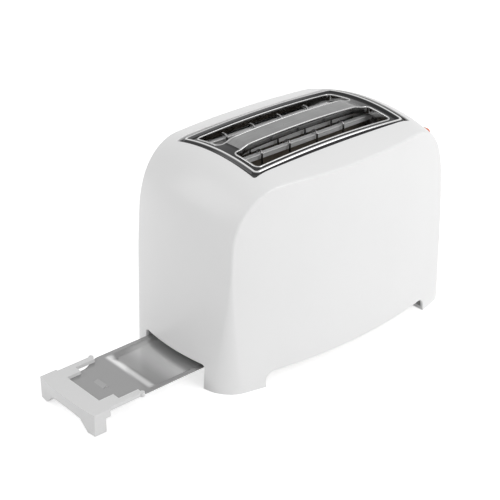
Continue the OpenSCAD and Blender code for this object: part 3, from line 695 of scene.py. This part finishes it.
def slot_lip(side):
    """Rolled edge that turns down into one slot."""
    flat, n = slot_outline(side, 0)
    base = frame_height(flat[:, 0], flat[:, 1])
    rings = []
    for out, up in LIP_SECTION:
        z = base + up
        if up <= LIP_FOLLOWS:
            z = np.maximum(z, RAIL_TOP + RAIL_GAP)
        rings.append(np.column_stack([flat + out * n, z]))
    rings.append(rings[0])
    verts, faces = loft(rings)
    count = len(flat) * len(LIP_SECTION)
    return verts[:count], [[v % count for v in face] for face in faces]


def build_slot_frame(steel, brushed, bright):
    gx, gy = np.meshgrid(np.linspace(-FRAME_HALF_L, FRAME_HALF_L, 335),
                         np.linspace(-FRAME_HALF_W, FRAME_HALF_W, 185), indexing="ij")
    plate = grid_sheet("slot_plate", np.stack([gx, gy, frame_height(gx, gy)], -1), SHEET)
    edge, _ = rounded_outline(FRAME_HALF_L - 0.02 * MM, FRAME_HALF_W - 0.02 * MM, 1.6 * MM, pitch=1)
    heights = (100 * MM, 200 * MM)
    cut(plate, [prism_z("edge", edge, *heights)], "INTERSECT")
    cut(plate, [prism_z("slot", slot_outline(s, 0.3 * MM)[0], *heights) for s in (-1, 1)])
    shade_from(plate, frame_normals, lambda p: np.abs(p[:, 2] - frame_height(p[:, 0], p[:, 1])) < 0.05 * MM)
    # painted reflection: the bead's bright crest and its dark flanks and flats are painted into the steel's
    # colour
    at = vertex_points(plate)
    carry_painted_light(plate, bead_painted_reflection(at[:, 0], at[:, 1]))
    paint(plate, steel, brushed)
    for face in plate.data.polygons:
        c = face.center
        if abs(c.x - CX) < BRIDGE_FOOT - 3 * MM and abs(c.y) < SLOT_IN + 1 * MM:
            face.material_index = 1
    lips = new_object("slot_lips", *merged([slot_lip(-1), slot_lip(1)]))
    finish(lips, bright, 50)
    for piece in (plate, lips):
        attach(piece, "body")
    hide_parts("slot_frame")


# ---------------- crumb tray

PAN_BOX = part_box("tray_pan")
PAN_HALF = PAN_BOX[1].y
PAN_FLOOR = PAN_BOX[0].z + SHEET
PAN_RIM = 16.7 * MM
PAN_END = PAN_BOX[1].x - CX
PAN_START = PAN_BOX[0].x - CX
NECK = PAN_START + 45.5 * MM
RAMP = 9.5 * MM
TAB_FREE = PAN_START + 23.2 * MM
TAB_LENGTH = 4.4 * MM
TAB_HALF_W = 6.6 * MM


def pan_half_width(x):
    """Half width of the pan: full behind the neck, drawn in towards the handle."""
    return PAN_HALF - 8 * MM * ease((NECK - 4 * MM - x) / (20 * MM))


def bend(t, sharp=14):
    """Straight rise from 0 to 1 with rounded ends."""
    return (np.logaddexp(0, sharp * t) - np.logaddexp(0, sharp * (t - 1))) / sharp


def pan_height(x, s):
    """Height of the pan's upper face; s is the place across it as a share of the half width."""
    y = np.abs(s) * PAN_HALF
    across = ease((PAN_HALF - 3.6 * MM - y) / (4.2 * MM))
    along = bend((x - NECK) / RAMP) * ease((PAN_END - 0.4 * MM - x) / (1.6 * MM))
    return PAN_RIM - (PAN_RIM - PAN_FLOOR) * across * along


def pan_painted_light(x, s):
    """Painted highlight on the bends of the pan, brighter than its flats, and painted light on the part that
    stays inside a little, against its shade.
    """
    fade = 4.5 * MM
    ramp = ease((x - NECK + 1.5 * MM) / fade) * ease((NECK + RAMP - x) / fade)
    inside = ease((x - NECK - 13 * MM) / (22 * MM))
    return 0.5 + (0.5 * ramp + 0.24 * inside) * ease((0.9 - np.abs(s)) / 0.08)


def build_pan_tab(steel):
    """The tab lanced out of the tongue: hinged towards the handle, its free edge stands up."""
    gx, gy = np.meshgrid(np.linspace(TAB_FREE - TAB_LENGTH - 0.6 * MM, TAB_FREE - 0.35 * MM, 12),
                         np.linspace(-TAB_HALF_W + 0.3 * MM, TAB_HALF_W - 0.3 * MM, 16), indexing="ij")
    rise = 1.1 * MM * ((gx - gx.min()) / (gx.max() - gx.min())) ** 1.6
    tab = grid_sheet("crumb_pan_tab", np.stack([gx, gy, PAN_RIM - 0.02 * MM + rise], -1), SHEET * 0.8)
    # the tab is painted a little brighter than the pan's flats, a painted highlight
    carry_painted_light(tab, np.full(len(tab.data.vertices), 0.56))
    finish(tab, steel)
    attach(tab, "tray")


def build_tray_pan(steel):
    # closer steps over the ramp and at the far end
    steps = ((PAN_START, NECK - 3 * MM, 40), (NECK - 2.5 * MM, NECK + 11 * MM, 30),
             (NECK + 13 * MM, PAN_END - 3 * MM, 30), (PAN_END - 2.5 * MM, PAN_END, 8))
    xs = np.concatenate([np.linspace(*step) for step in steps])
    shares = np.concatenate([np.linspace(0, 0.7, 12), np.linspace(0.73, 1, 26)])
    shares = np.concatenate([-shares[:0:-1], shares])
    gx, gs = np.meshgrid(xs, shares, indexing="ij")
    pan = grid_sheet("crumb_pan", np.stack([gx, gs * pan_half_width(gx), pan_height(gx, gs)], -1), SHEET)
    cut(pan, [block("lance", TAB_FREE - TAB_LENGTH, TAB_FREE, -TAB_HALF_W, TAB_HALF_W, 10 * MM, 30 * MM)])
    # painted highlight on the ramp, and painted light that lifts the shade on the part inside the body
    at = vertex_points(pan)
    carry_painted_light(pan, pan_painted_light(at[:, 0], at[:, 1] / PAN_HALF))
    finish(pan, steel)
    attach(pan, "tray")
    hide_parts("tray_pan")


# ---------------- controls


def stacked(name, sections, centre):
    """A form along X made of rounded rectangles: (place, half width, half height, corner radius)."""
    rings = []
    for x, half_y, half_z, r in sections:
        flat, _ = rounded_outline(half_y, half_z, r, centre, pitch=1)
        rings.append(np.column_stack([np.full(len(flat), x), flat]))
    ends = [(sections[k][0], *centre) for k in (0, -1)]
    return new_object(name, *loft(rings, caps=ends))


def build_dial(plastic_mat, mark):
    """Fluted dial with a raised grip bar and a pointer line in its groove."""
    x0, centre = DIAL_BOX[0].x - CX, (0, DIAL.z)

    def on_face(table):
        return [(x0 + row[0] * MM, *(value * MM for value in row[1:])) for row in table]

    # place along the axis, change of the radius, depth of the flutes
    skirt = on_face([(0, -.5, 0), (.5, 0, 0), (1.1, 0, 0), (1.6, 0, .5), (7.2, -.1, .5), (8, -.3, .3),
                     (8.6, -.7, .1), (9.1, -1.3, 0), (9.5, -2.2, 0), (9.7, -3.6, 0), (9.55, -7, 0),
                     (9.5, -11, 0)])
    dial = turned_form("dial", [(x, DIAL_R + out, depth) for x, out, depth in skirt], "x", centre, 240, 40)
    # place along the axis, half width, change of the half length
    grip = on_face([(8.4, 3.1, .3), (10.6, 2.9, .2), (12.6, 2.6, 0), (13.2, 2.3, -.3), (13.55, 1.8, -.8),
                    (13.7, 1.2, -1.4)])
    long_half = DIAL_R - 1.6 * MM
    bar = [(x, half, long_half + out, half - .1 * MM) for x, half, out in grip]
    cut(dial, [stacked("grip", bar, centre)], "UNION")
    line = (0, DIAL.z + 7.6 * MM)
    groove = on_face([(13.25, .55, 3.4, .5), (15, .55, 3.4, .5)])
    cut(dial, [stacked("groove", groove, line),
               round_bar("shaft", x0 - 1 * MM, x0 + 7.7 * MM, 0, DIAL.z, 3.05 * MM)])
    inlay = on_face([(13, .5, 3.35, .45), (13.45, .5, 3.35, .45), (13.55, .4, 3.2, .35)])
    pointer = stacked("dial_pointer", inlay, line)
    for piece, mat, slot in ((dial, plastic_mat, "control_plastic"), (pointer, mark, "black_plastic")):
        finish(piece, mat)
        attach(piece, "dial")
    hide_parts("dial_knob")


def build_dial_scale(mark):
    """Round marks on the housing, larger towards the darker end of the scale."""
    marks = []
    turn = np.linspace(0, 2 * math.pi, 28, endpoint=False)
    circle = np.column_stack([np.cos(turn), np.sin(turn)])
    for k, angle in enumerate(np.radians(np.linspace(-120, 120, 9))):
        size = (0.55 + 0.09 * k) * MM
        spot = direction(angle) * (DIAL_R + 5.2 * MM) + (0, DIAL.z)
        rings = []
        for share, lift in ((1, -.3), (1, .03), (.82, .09)):
            flat = spot + share * size * circle
            on = hit(np.column_stack([np.full(len(flat), HALF_L + 10 * MM), flat]), (-1, 0, 0))
            rings.append(on + lift * MM * body_normals(on))
        caps = (rings[0].mean(axis=0), rings[-1].mean(axis=0) + (.01 * MM, 0, 0))
        marks.append(loft(rings, caps=caps))
    scale = new_object("dial_scale", *merged(marks))
    finish(scale, mark)
    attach(scale, "body")


def build_cancel_button(mat):
    """Round cap with a dished face and a flange behind the housing's wall."""
    lo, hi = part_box("cancel_button")
    x0, face = lo.x - CX, hi.x - CX - 0.8 * MM
    centre, flange = ((lo.y + hi.y) / 2, (lo.z + hi.z) / 2), (hi.z - lo.z) / 2
    r = flange - 2.1 * MM
    seat = POCKET_FLOOR - 9.4 * MM
    # each row: from where, and by how much along and out from there
    steps = [(x0, r, 0, -1), (x0, r, 1, 0), (seat, r, -.01, 0), (seat, flange, 0, -.2), (seat, flange, .2, 0),
             (seat, flange, 1.9, 0), (seat, flange, 2.1, -.2), (seat, r, 2.11, 0), (face, r, -.7, 0),
             (face, r, -.1, -.2), (face, r, .4, -.7), (face, r, .7, -1.2), (face, r, .8, -1.9),
             (face, r, .6, -3), (face, r, .4, -4.6)]
    profile = [(x + along * MM, radius + out * MM, 0) for x, radius, along, out in steps]
    button = turned_form("cancel_button_cap", profile, "x", centre, 72)
    finish(button, mat)
    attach(button, "button")
    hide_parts("cancel_button")


def build_lever_knob(mat):
    """Rounded grip with a finger hollow that holds fine ribs across its top."""
    lo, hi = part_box("lever_knob")
    x0, x1, half_y = lo.x - CX, hi.x - CX, (hi.y - lo.y) / 2
    half_z, mid = (hi.z - lo.z) / 2, (lo.z + hi.z) / 2
    inset = ((0, .9), (.25, .45), (.7, .12), (1.3, 0))
    sections = [(x0 + a * MM, half_y - b * MM, half_z - b * MM, (4 - b) * MM) for a, b in inset]
    sections += [(x0 + share * (x1 - x0), half_y, half_z, 4 * MM) for share in (.3, .5, .7, .85)]
    sections += [(x1 - 1.6 * a * MM, half_y - 1.8 * b * MM, half_z - 1.5 * b * MM, (4 - 1.2 * b) * MM)
                 for a, b in ((1, 0), (.62, .12), (.3, .35), (.08, .72), (0, 1))]
    knob = stacked("lever_grip", sections, (0, mid))
    # the outer face is bowed
    for v in knob.data.vertices:
        share = max(0.0, (v.co.x - CX - x0) / (x1 - x0) - 0.5) * 2
        v.co.x -= share * (v.co.y / half_y) ** 2 * 2.2 * MM
    reach = half_y - 4 * MM
    bowl_x, bowl_up, bowl_r = 11 * MM, 20 * MM, 21.4
    ends = ((-reach, 12.6), (-reach + .5 * MM, 18), (-reach + 1.5 * MM, 20.4), (-reach + 3 * MM, bowl_r))
    bowl = [(a, r * MM, 0) for a, r in ends] + [(-a, r * MM, 0) for a, r in ends[::-1]]
    hollow = turned_form("hollow", bowl, "y", (x0 + bowl_x, mid + half_z + bowl_up), 160)
    cut(knob, [hollow])
    ends = ((-1, 4, .2), (-1, 4.6, .45), (1, 4.6, .45), (1, 4, .2))
    rib = [(side * (reach - a * MM), r * MM, 0) for side, a, r in ends]
    ribs = []
    for k in range(5):
        x = x0 + (6.6 + 2.2 * k) * MM
        depth = bowl_up - math.sqrt((bowl_r * MM) ** 2 - (x - x0 - bowl_x) ** 2)
        ribs.append(turned_form("rib", rib, "y", (x, mid + half_z + depth), 16))
    cut(knob, ribs, "UNION")
    half_w, half_h = 1.52 * MM, 4.02 * MM
    cut(knob, [block("arm_seat", x0 - 1 * MM, x0 + 10.04 * MM, -half_w, half_w, mid - half_h, mid + half_h)])
    finish(knob, mat, 38)
    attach(knob, "lift")
    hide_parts("lever_knob")


def build_return_spring(steel, turns=11, wire=0.6 * MM, sides=10):
    """Coil with closed ends, built at one length; the real spring shortens as the lever goes down."""
    lo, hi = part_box("return_spring")
    base, height = (hi.x - lo.x) / 2 - wire, hi.z - lo.z
    x, y = (lo.x + hi.x) / 2 - CX, (lo.y + hi.y) / 2
    t = np.linspace(0, 1, turns * 28 + 1)
    # even rise with a flat turn at each end
    flat = 0.075 * (ease(t / 0.12) - 1 + ease((t - 0.88) / 0.12) + 1 - 2 * t)
    rise = 0.006 * t + 0.994 * (t + flat)
    rise = (rise - rise[0]) / (rise[-1] - rise[0])
    turn = 2 * math.pi * turns * t
    out = np.column_stack([np.cos(turn), np.sin(turn), np.zeros_like(t)])
    line = base * out + (x, y, lo.z + wire)
    line[:, 2] += (height - 2 * wire) * rise
    around = np.linspace(0, 2 * math.pi, sides, endpoint=False)
    up = np.array([0, 0, 1])
    rings = [[p + wire * (math.cos(a) * o + math.sin(a) * up) for a in around] for p, o in zip(line, out)]
    spring = new_object("spring_coil", *loft(rings, caps=(line[0], line[-1])))
    finish(spring, steel, 50)
    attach(spring, "body")
    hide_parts("return_spring")
    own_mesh(spring)


# ---------------- materials


def new_material(name, color, metallic, roughness):
    """A material with its Principled shader."""
    mat = bpy.data.materials.new(name)
    mat.use_nodes = True
    shader_input(mat, "Base Color").default_value = (*color, 1)
    shader_input(mat, "Metallic").default_value = metallic
    shader_input(mat, "Roughness").default_value = roughness
    return mat


def add_node(tree, kind, **inputs):
    node = tree.nodes.new("ShaderNode" + kind)
    for key, value in inputs.items():
        node.inputs[key].default_value = value
    return node


def shader_input(mat, socket):
    return mat.node_tree.nodes["Principled BSDF"].inputs[socket]


def texture_place(mat, scale=(1, 1, 1)):
    """Object coordinates, stretched."""
    place = add_node(mat.node_tree, "TexCoord")
    mapping = add_node(mat.node_tree, "Mapping", Scale=scale)
    mat.node_tree.links.new(place.outputs["Object"], mapping.inputs["Vector"])
    return mapping.outputs["Vector"]


def noise(mat, place, scale, detail, rough=0.6):
    node = add_node(mat.node_tree, "TexNoise", Scale=scale, Detail=detail, Roughness=rough)
    mat.node_tree.links.new(place, node.inputs["Vector"])
    return node.outputs["Fac"]


def color_ramp(tree, value, stops):
    """Maps a grey value to a colour between stops (place, colour)."""
    ramp = add_node(tree, "ValToRGB")
    while len(ramp.color_ramp.elements) < len(stops):
        ramp.color_ramp.elements.new(0.5)
    for element, (place, color) in zip(ramp.color_ramp.elements, stops):
        element.position = place
        element.color = (*color, 1)
    tree.links.new(value, ramp.inputs["Fac"])
    return ramp.outputs["Color"]


def grey(level):
    return (level, level, level)


def ramp_to(mat, value, socket, low, high, ends=(0.35, 0.65)):
    """Maps a grey value to a range or to two colours on one of the shader's sockets."""
    levels = [level if isinstance(level, tuple) else grey(level) for level in (low, high)]
    color = color_ramp(mat.node_tree, value, list(zip(ends, levels)))
    mat.node_tree.links.new(color, shader_input(mat, socket))


def bump(mat, value, strength, distance):
    tree = mat.node_tree
    node = add_node(tree, "Bump", Strength=strength, Distance=distance)
    tree.links.new(value, node.inputs["Height"])
    tree.links.new(node.outputs["Normal"], shader_input(mat, "Normal"))


def plastic(name, color, roughness, tint=0.015):
    """Moulded plastic: faint mottling of its colour and gloss, and a very fine grain."""
    mat = new_material(name, color, 0.0, roughness)
    place = texture_place(mat)
    cloud = noise(mat, place, 14, 4)
    dim = tuple(c * (1 - tint) for c in color)
    ramp_to(mat, cloud, "Base Color", dim, color, (0.3, 0.7))
    ramp_to(mat, noise(mat, place, 25, 2), "Roughness", roughness * 0.94, roughness * 1.06)
    bump(mat, noise(mat, place, 1500, 1), 0.1, 0.01 * MM)
    return mat


def metal(name, color, roughness, along="x", brush=0.0, tint=0.12, metallic=1.0):
    """Sheet metal: streaks along the rolling direction in colour, gloss and relief."""
    mat = new_material(name, color, metallic, roughness)
    place = texture_place(mat, tuple(1 if side == along else 60 for side in "xyz"))
    streak = noise(mat, place, 12, 5, 0.7)
    dim = tuple(c * (1 - tint) for c in color)
    ramp_to(mat, streak, "Base Color", dim, tuple(min(1, c * (1 + tint)) for c in color))
    ramp_to(mat, noise(mat, texture_place(mat), 45, 4), "Roughness", roughness * 0.75, roughness * 1.3)
    bump(mat, streak, 0.1 + brush, 0.03 * MM)
    return mat


def steel_with_painted_light(name, stops, roughness, metallic=1.0):
    """Steel whose colour follows the painted light and shade that its mesh carries, with faint cloudiness in
    its gloss.
    """
    mat = new_material(name, stops[1][1], metallic, roughness)
    tree = mat.node_tree
    painted_level = add_node(tree, "Attribute")
    painted_level.attribute_name = PAINTED_LIGHT_ATTRIBUTE
    color = color_ramp(tree, painted_level.outputs["Fac"], stops)
    tree.links.new(color, shader_input(mat, "Base Color"))
    ramp_to(mat, noise(mat, texture_place(mat), 45, 4), "Roughness", roughness * 0.8, roughness * 1.25)
    bump(mat, noise(mat, texture_place(mat, (1, 40, 40)), 14, 3), 0.08, 0.02 * MM)
    return mat


def galvanised(name, dim, bright, roughness):
    """Zinc-coated sheet: spangle of crystals that differ in tone and gloss."""
    mat = new_material(name, bright, 1.0, roughness)
    place = texture_place(mat)
    tree = mat.node_tree
    cells = add_node(tree, "TexVoronoi", Scale=260, Randomness=1)
    tree.links.new(place, cells.inputs["Vector"])
    split = add_node(tree, "SeparateColor")
    tree.links.new(cells.outputs["Color"], split.inputs["Color"])
    ramp_to(mat, split.outputs["Red"], "Base Color", dim, bright, (0.1, 0.9))
    ramp_to(mat, split.outputs["Green"], "Roughness", roughness * 0.8, roughness * 1.3, (0, 1))
    bump(mat, noise(mat, place, 120, 3), 0.15, 0.03 * MM)
    return mat


# colour, roughness and what differs from the usual
PLASTICS = {
    "shell": (grey(0.86), 0.3),
    "base_plastic": ((0.62, 0.62, 0.6), 0.5),
    "gland_rubber": ((0.72, 0.72, 0.7), 0.55),
    "handle_plastic": (grey(0.74), 0.35),
    # the mica is coloured darker than mica, a painted shade for the inside of the slots
    "mica": ((0.15, 0.13, 0.105), 0.45, 0.12),
    "knob_orange": ((0.72, 0.13, 0.02), 0.3),
    "control_plastic": ((0.78, 0.78, 0.77), 0.35),
    "mark_grey": ((0.16, 0.16, 0.165), 0.5),
    "black_plastic": ((0.03, 0.03, 0.035), 0.4),
    "board": ((0.05, 0.2, 0.09), 0.4, 0.2),
}
METALS = {
    "lip_steel": dict(color=grey(0.5), roughness=0.12, tint=0.05),
    "bridge_steel": dict(color=grey(0.26), roughness=0.34, brush=0.2),
    "screw_steel": dict(color=grey(0.5), roughness=0.3),
    "ribbon": dict(color=(0.28, 0.26, 0.25), roughness=0.4),
    "wire_steel": dict(color=grey(0.3), roughness=0.25, tint=0.08),
    "rack_steel": dict(color=grey(0.55), roughness=0.3, tint=0.08),
    # the rails are coloured pale and partly diffuse, painted light against the shade under the slot frame
    "rail_steel": dict(color=grey(0.86), roughness=0.4, tint=0.08, metallic=0.35),
    "iron": dict(color=(0.25, 0.25, 0.26), roughness=0.45),
    "copper": dict(color=(0.62, 0.28, 0.14), roughness=0.35, along="y"),
}
# colours at levels of painted light: painted reflection on the slot frame, painted highlight and painted
# light on the tray
FRAME_PAINTED_REFLECTION = [(0.0, (0.03, 0.03, 0.031)), (0.5, grey(0.13)), (0.75, grey(0.3)), (1.0, grey(0.7))]
TRAY_PAINTED_LIGHT = [(0.0, grey(0.2)), (0.5, grey(0.34)), (1.0, grey(0.9))]


def make_materials():
    materials = {name: plastic(name, *look) for name, look in PLASTICS.items()}
    materials.update((name, metal(name, **look)) for name, look in METALS.items())
    # these two steels take painted light and shade into their colour from the numbers their meshes carry
    materials["frame_steel"] = steel_with_painted_light("frame_steel", FRAME_PAINTED_REFLECTION, 0.14)
    materials["tray_steel"] = steel_with_painted_light("tray_steel", TRAY_PAINTED_LIGHT, 0.15, 0.42)
    materials["chassis_steel"] = galvanised("chassis_steel", (0.36, 0.37, 0.38), (0.66, 0.67, 0.68), 0.33)
    return materials


def dress_node(name, mat):
    """Gives a CAD node its material and softened edges."""
    obj = NODES[name]
    for slot in obj.material_slots:
        slot.material = mat
    if not obj.material_slots:
        obj.data.materials.append(mat)
    width = EDGE.get(name, 0.25) * MM
    if width:
        modify(obj, "WELD", merge_threshold=0.002 * MM)
        modify(obj, "DECIMATE", decimate_type="DISSOLVE", angle_limit=math.radians(1.0))
        modify(obj, "BEVEL", width=width, segments=3, limit_method="ANGLE",
               angle_limit=math.radians(35), harden_normals=False)
        obj.data.shade_smooth()
        modify(obj, "WEIGHTED_NORMAL", keep_sharp=True)


# the CAD nodes that no piece of this scene replaces, by their material
CAD_LOOKS = {
    "base_plastic": "base_plate",
    "gland_rubber": "cord_gland",
    "handle_plastic": "tray_handle",
    "chassis_steel": "tray_rails chassis_tray_end chassis_lever_end side_reflectors carriage rod_bracket",
    "screw_steel": "base_screws guide_rod dial_shaft",
    "mica": "outer_heater_boards centre_heater_board",
    "ribbon": "outer_heater_ribbons centre_heater_ribbons",
    "rail_steel": "guard_rails",
    "wire_steel": "guard_wires",
    "rack_steel": "bread_racks",
    "iron": "latch_keeper magnet_core",
    "copper": "magnet_coil",
    "black_plastic": "potentiometer cancel_switch",
    "board": "control_board",
}
# width of their softened edges in millimetres, where it isn't 0.25
EDGE = {"tray_handle": 1.1, "guard_rails": 0.2, "guard_wires": 0, "outer_heater_ribbons": 0,
        "centre_heater_ribbons": 0}

# ---------------- stage


def build_camera():
    azimuth, elevation, reach = math.radians(-41.21), math.radians(27.94), 1.1205
    target = Vector((CX - 47.64 * MM, 0, 79.55 * MM))
    back = Vector((math.sin(azimuth) * math.cos(elevation), -math.cos(azimuth) * math.cos(elevation),
                   math.sin(elevation)))
    data = bpy.data.cameras.new("camera")
    data.lens = 100
    data.sensor_width = 36
    data.clip_end = 20
    camera = bpy.data.objects.new("camera", data)
    camera.location = target + reach * back
    camera.rotation_euler = back.to_track_quat("Z", "Y").to_euler()
    bpy.context.scene.collection.objects.link(camera)
    bpy.context.scene.camera = camera


def add_lamp(name, location, target, size, power):
    data = bpy.data.lights.new(name, "AREA")
    data.shape = "RECTANGLE"
    data.size, data.size_y = size
    data.energy = power
    lamp = bpy.data.objects.new(name, data)
    lamp.location = location
    lamp.rotation_euler = (Vector(location) - Vector(target)).to_track_quat("Z", "Y").to_euler()
    bpy.context.scene.collection.objects.link(lamp)


def seen_rays(tree):
    """One for rays that show the surroundings: to the camera, in reflections, through glass."""
    rays = add_node(tree, "LightPath")
    total = rays.outputs["Is Camera Ray"]
    for kind in ("Is Glossy Ray", "Is Transmission Ray"):
        larger = add_node(tree, "Math")
        larger.operation = "MAXIMUM"
        tree.links.new(total, larger.inputs[0])
        tree.links.new(rays.outputs[kind], larger.inputs[1])
        total = larger.outputs["Value"]
    return total


def white_glow(tree, kind, strength):
    return add_node(tree, kind, Color=(1, 1, 1, 1), Strength=strength).outputs[0]


def show_by_ray(tree, plain, shown, surface):
    """One shader for the rays that show the surroundings, and a plainer one for the rest."""
    mix = add_node(tree, "MixShader")
    for value, socket in zip((seen_rays(tree), plain, shown), mix.inputs):
        tree.links.new(value, socket)
    tree.links.new(mix.outputs["Shader"], surface)


def build_world(level):
    """White to the camera and in reflections, plain grey light on the object."""
    world = bpy.data.worlds.new("world")
    bpy.context.scene.world = world
    world.use_nodes = True
    tree = world.node_tree
    tree.nodes.clear()
    out = add_node(tree, "OutputWorld")
    light, white = white_glow(tree, "Background", level), white_glow(tree, "Background", 1)
    show_by_ray(tree, light, white, out.inputs["Surface"])


def build_floor(size=3.0):
    """Pale floor that glows a little where it is seen, and takes a faint shadow."""
    corners = [(-size, -size, 0), (size, -size, 0), (size, size, 0), (-size, size, 0)]
    floor = new_object("floor", corners, [(0, 1, 2, 3)], centred=False)
    mat = new_material("floor", (0.9, 0.9, 0.9), 0.0, 0.9)
    tree = mat.node_tree
    shader_input(mat, "Specular IOR Level").default_value = 0.1
    plain = tree.nodes["Principled BSDF"].outputs[0]
    add = add_node(tree, "AddShader")
    tree.links.new(plain, add.inputs[0])
    tree.links.new(white_glow(tree, "Emission", 0.6), add.inputs[1])
    show_by_ray(tree, plain, add.outputs[0], tree.nodes["Material Output"].inputs["Surface"])
    floor.data.materials.append(mat)


def build_stage():
    build_camera()
    build_world(0.5)
    build_floor()
    middle = (0, 0, 0.08)
    add_lamp("key", (0.35, -1.5, 1.0), middle, (0.9, 0.8), 11)
    add_lamp("fill", (-1.25, 0.9, 1.0), middle, (1.1, 1.1), 6.4)
    add_lamp("top", (1.0, -0.35, 1.5), middle, (0.7, 0.6), 3.2)
    bpy.context.scene.view_settings.view_transform = "Standard"


# ---------------- all together

build_stage()
MATERIALS = make_materials()
build_housing(MATERIALS["shell"])
build_slot_frame(MATERIALS["frame_steel"], MATERIALS["bridge_steel"], MATERIALS["lip_steel"])
build_tray_pan(MATERIALS["tray_steel"])
build_pan_tab(MATERIALS["tray_steel"])
build_dial(MATERIALS["control_plastic"], MATERIALS["mark_grey"])
build_dial_scale(MATERIALS["mark_grey"])
build_cancel_button(MATERIALS["control_plastic"])
build_lever_knob(MATERIALS["knob_orange"])
build_return_spring(MATERIALS["screw_steel"])
for look, names in CAD_LOOKS.items():
    for node in names.split():
        dress_node(node, MATERIALS[look])
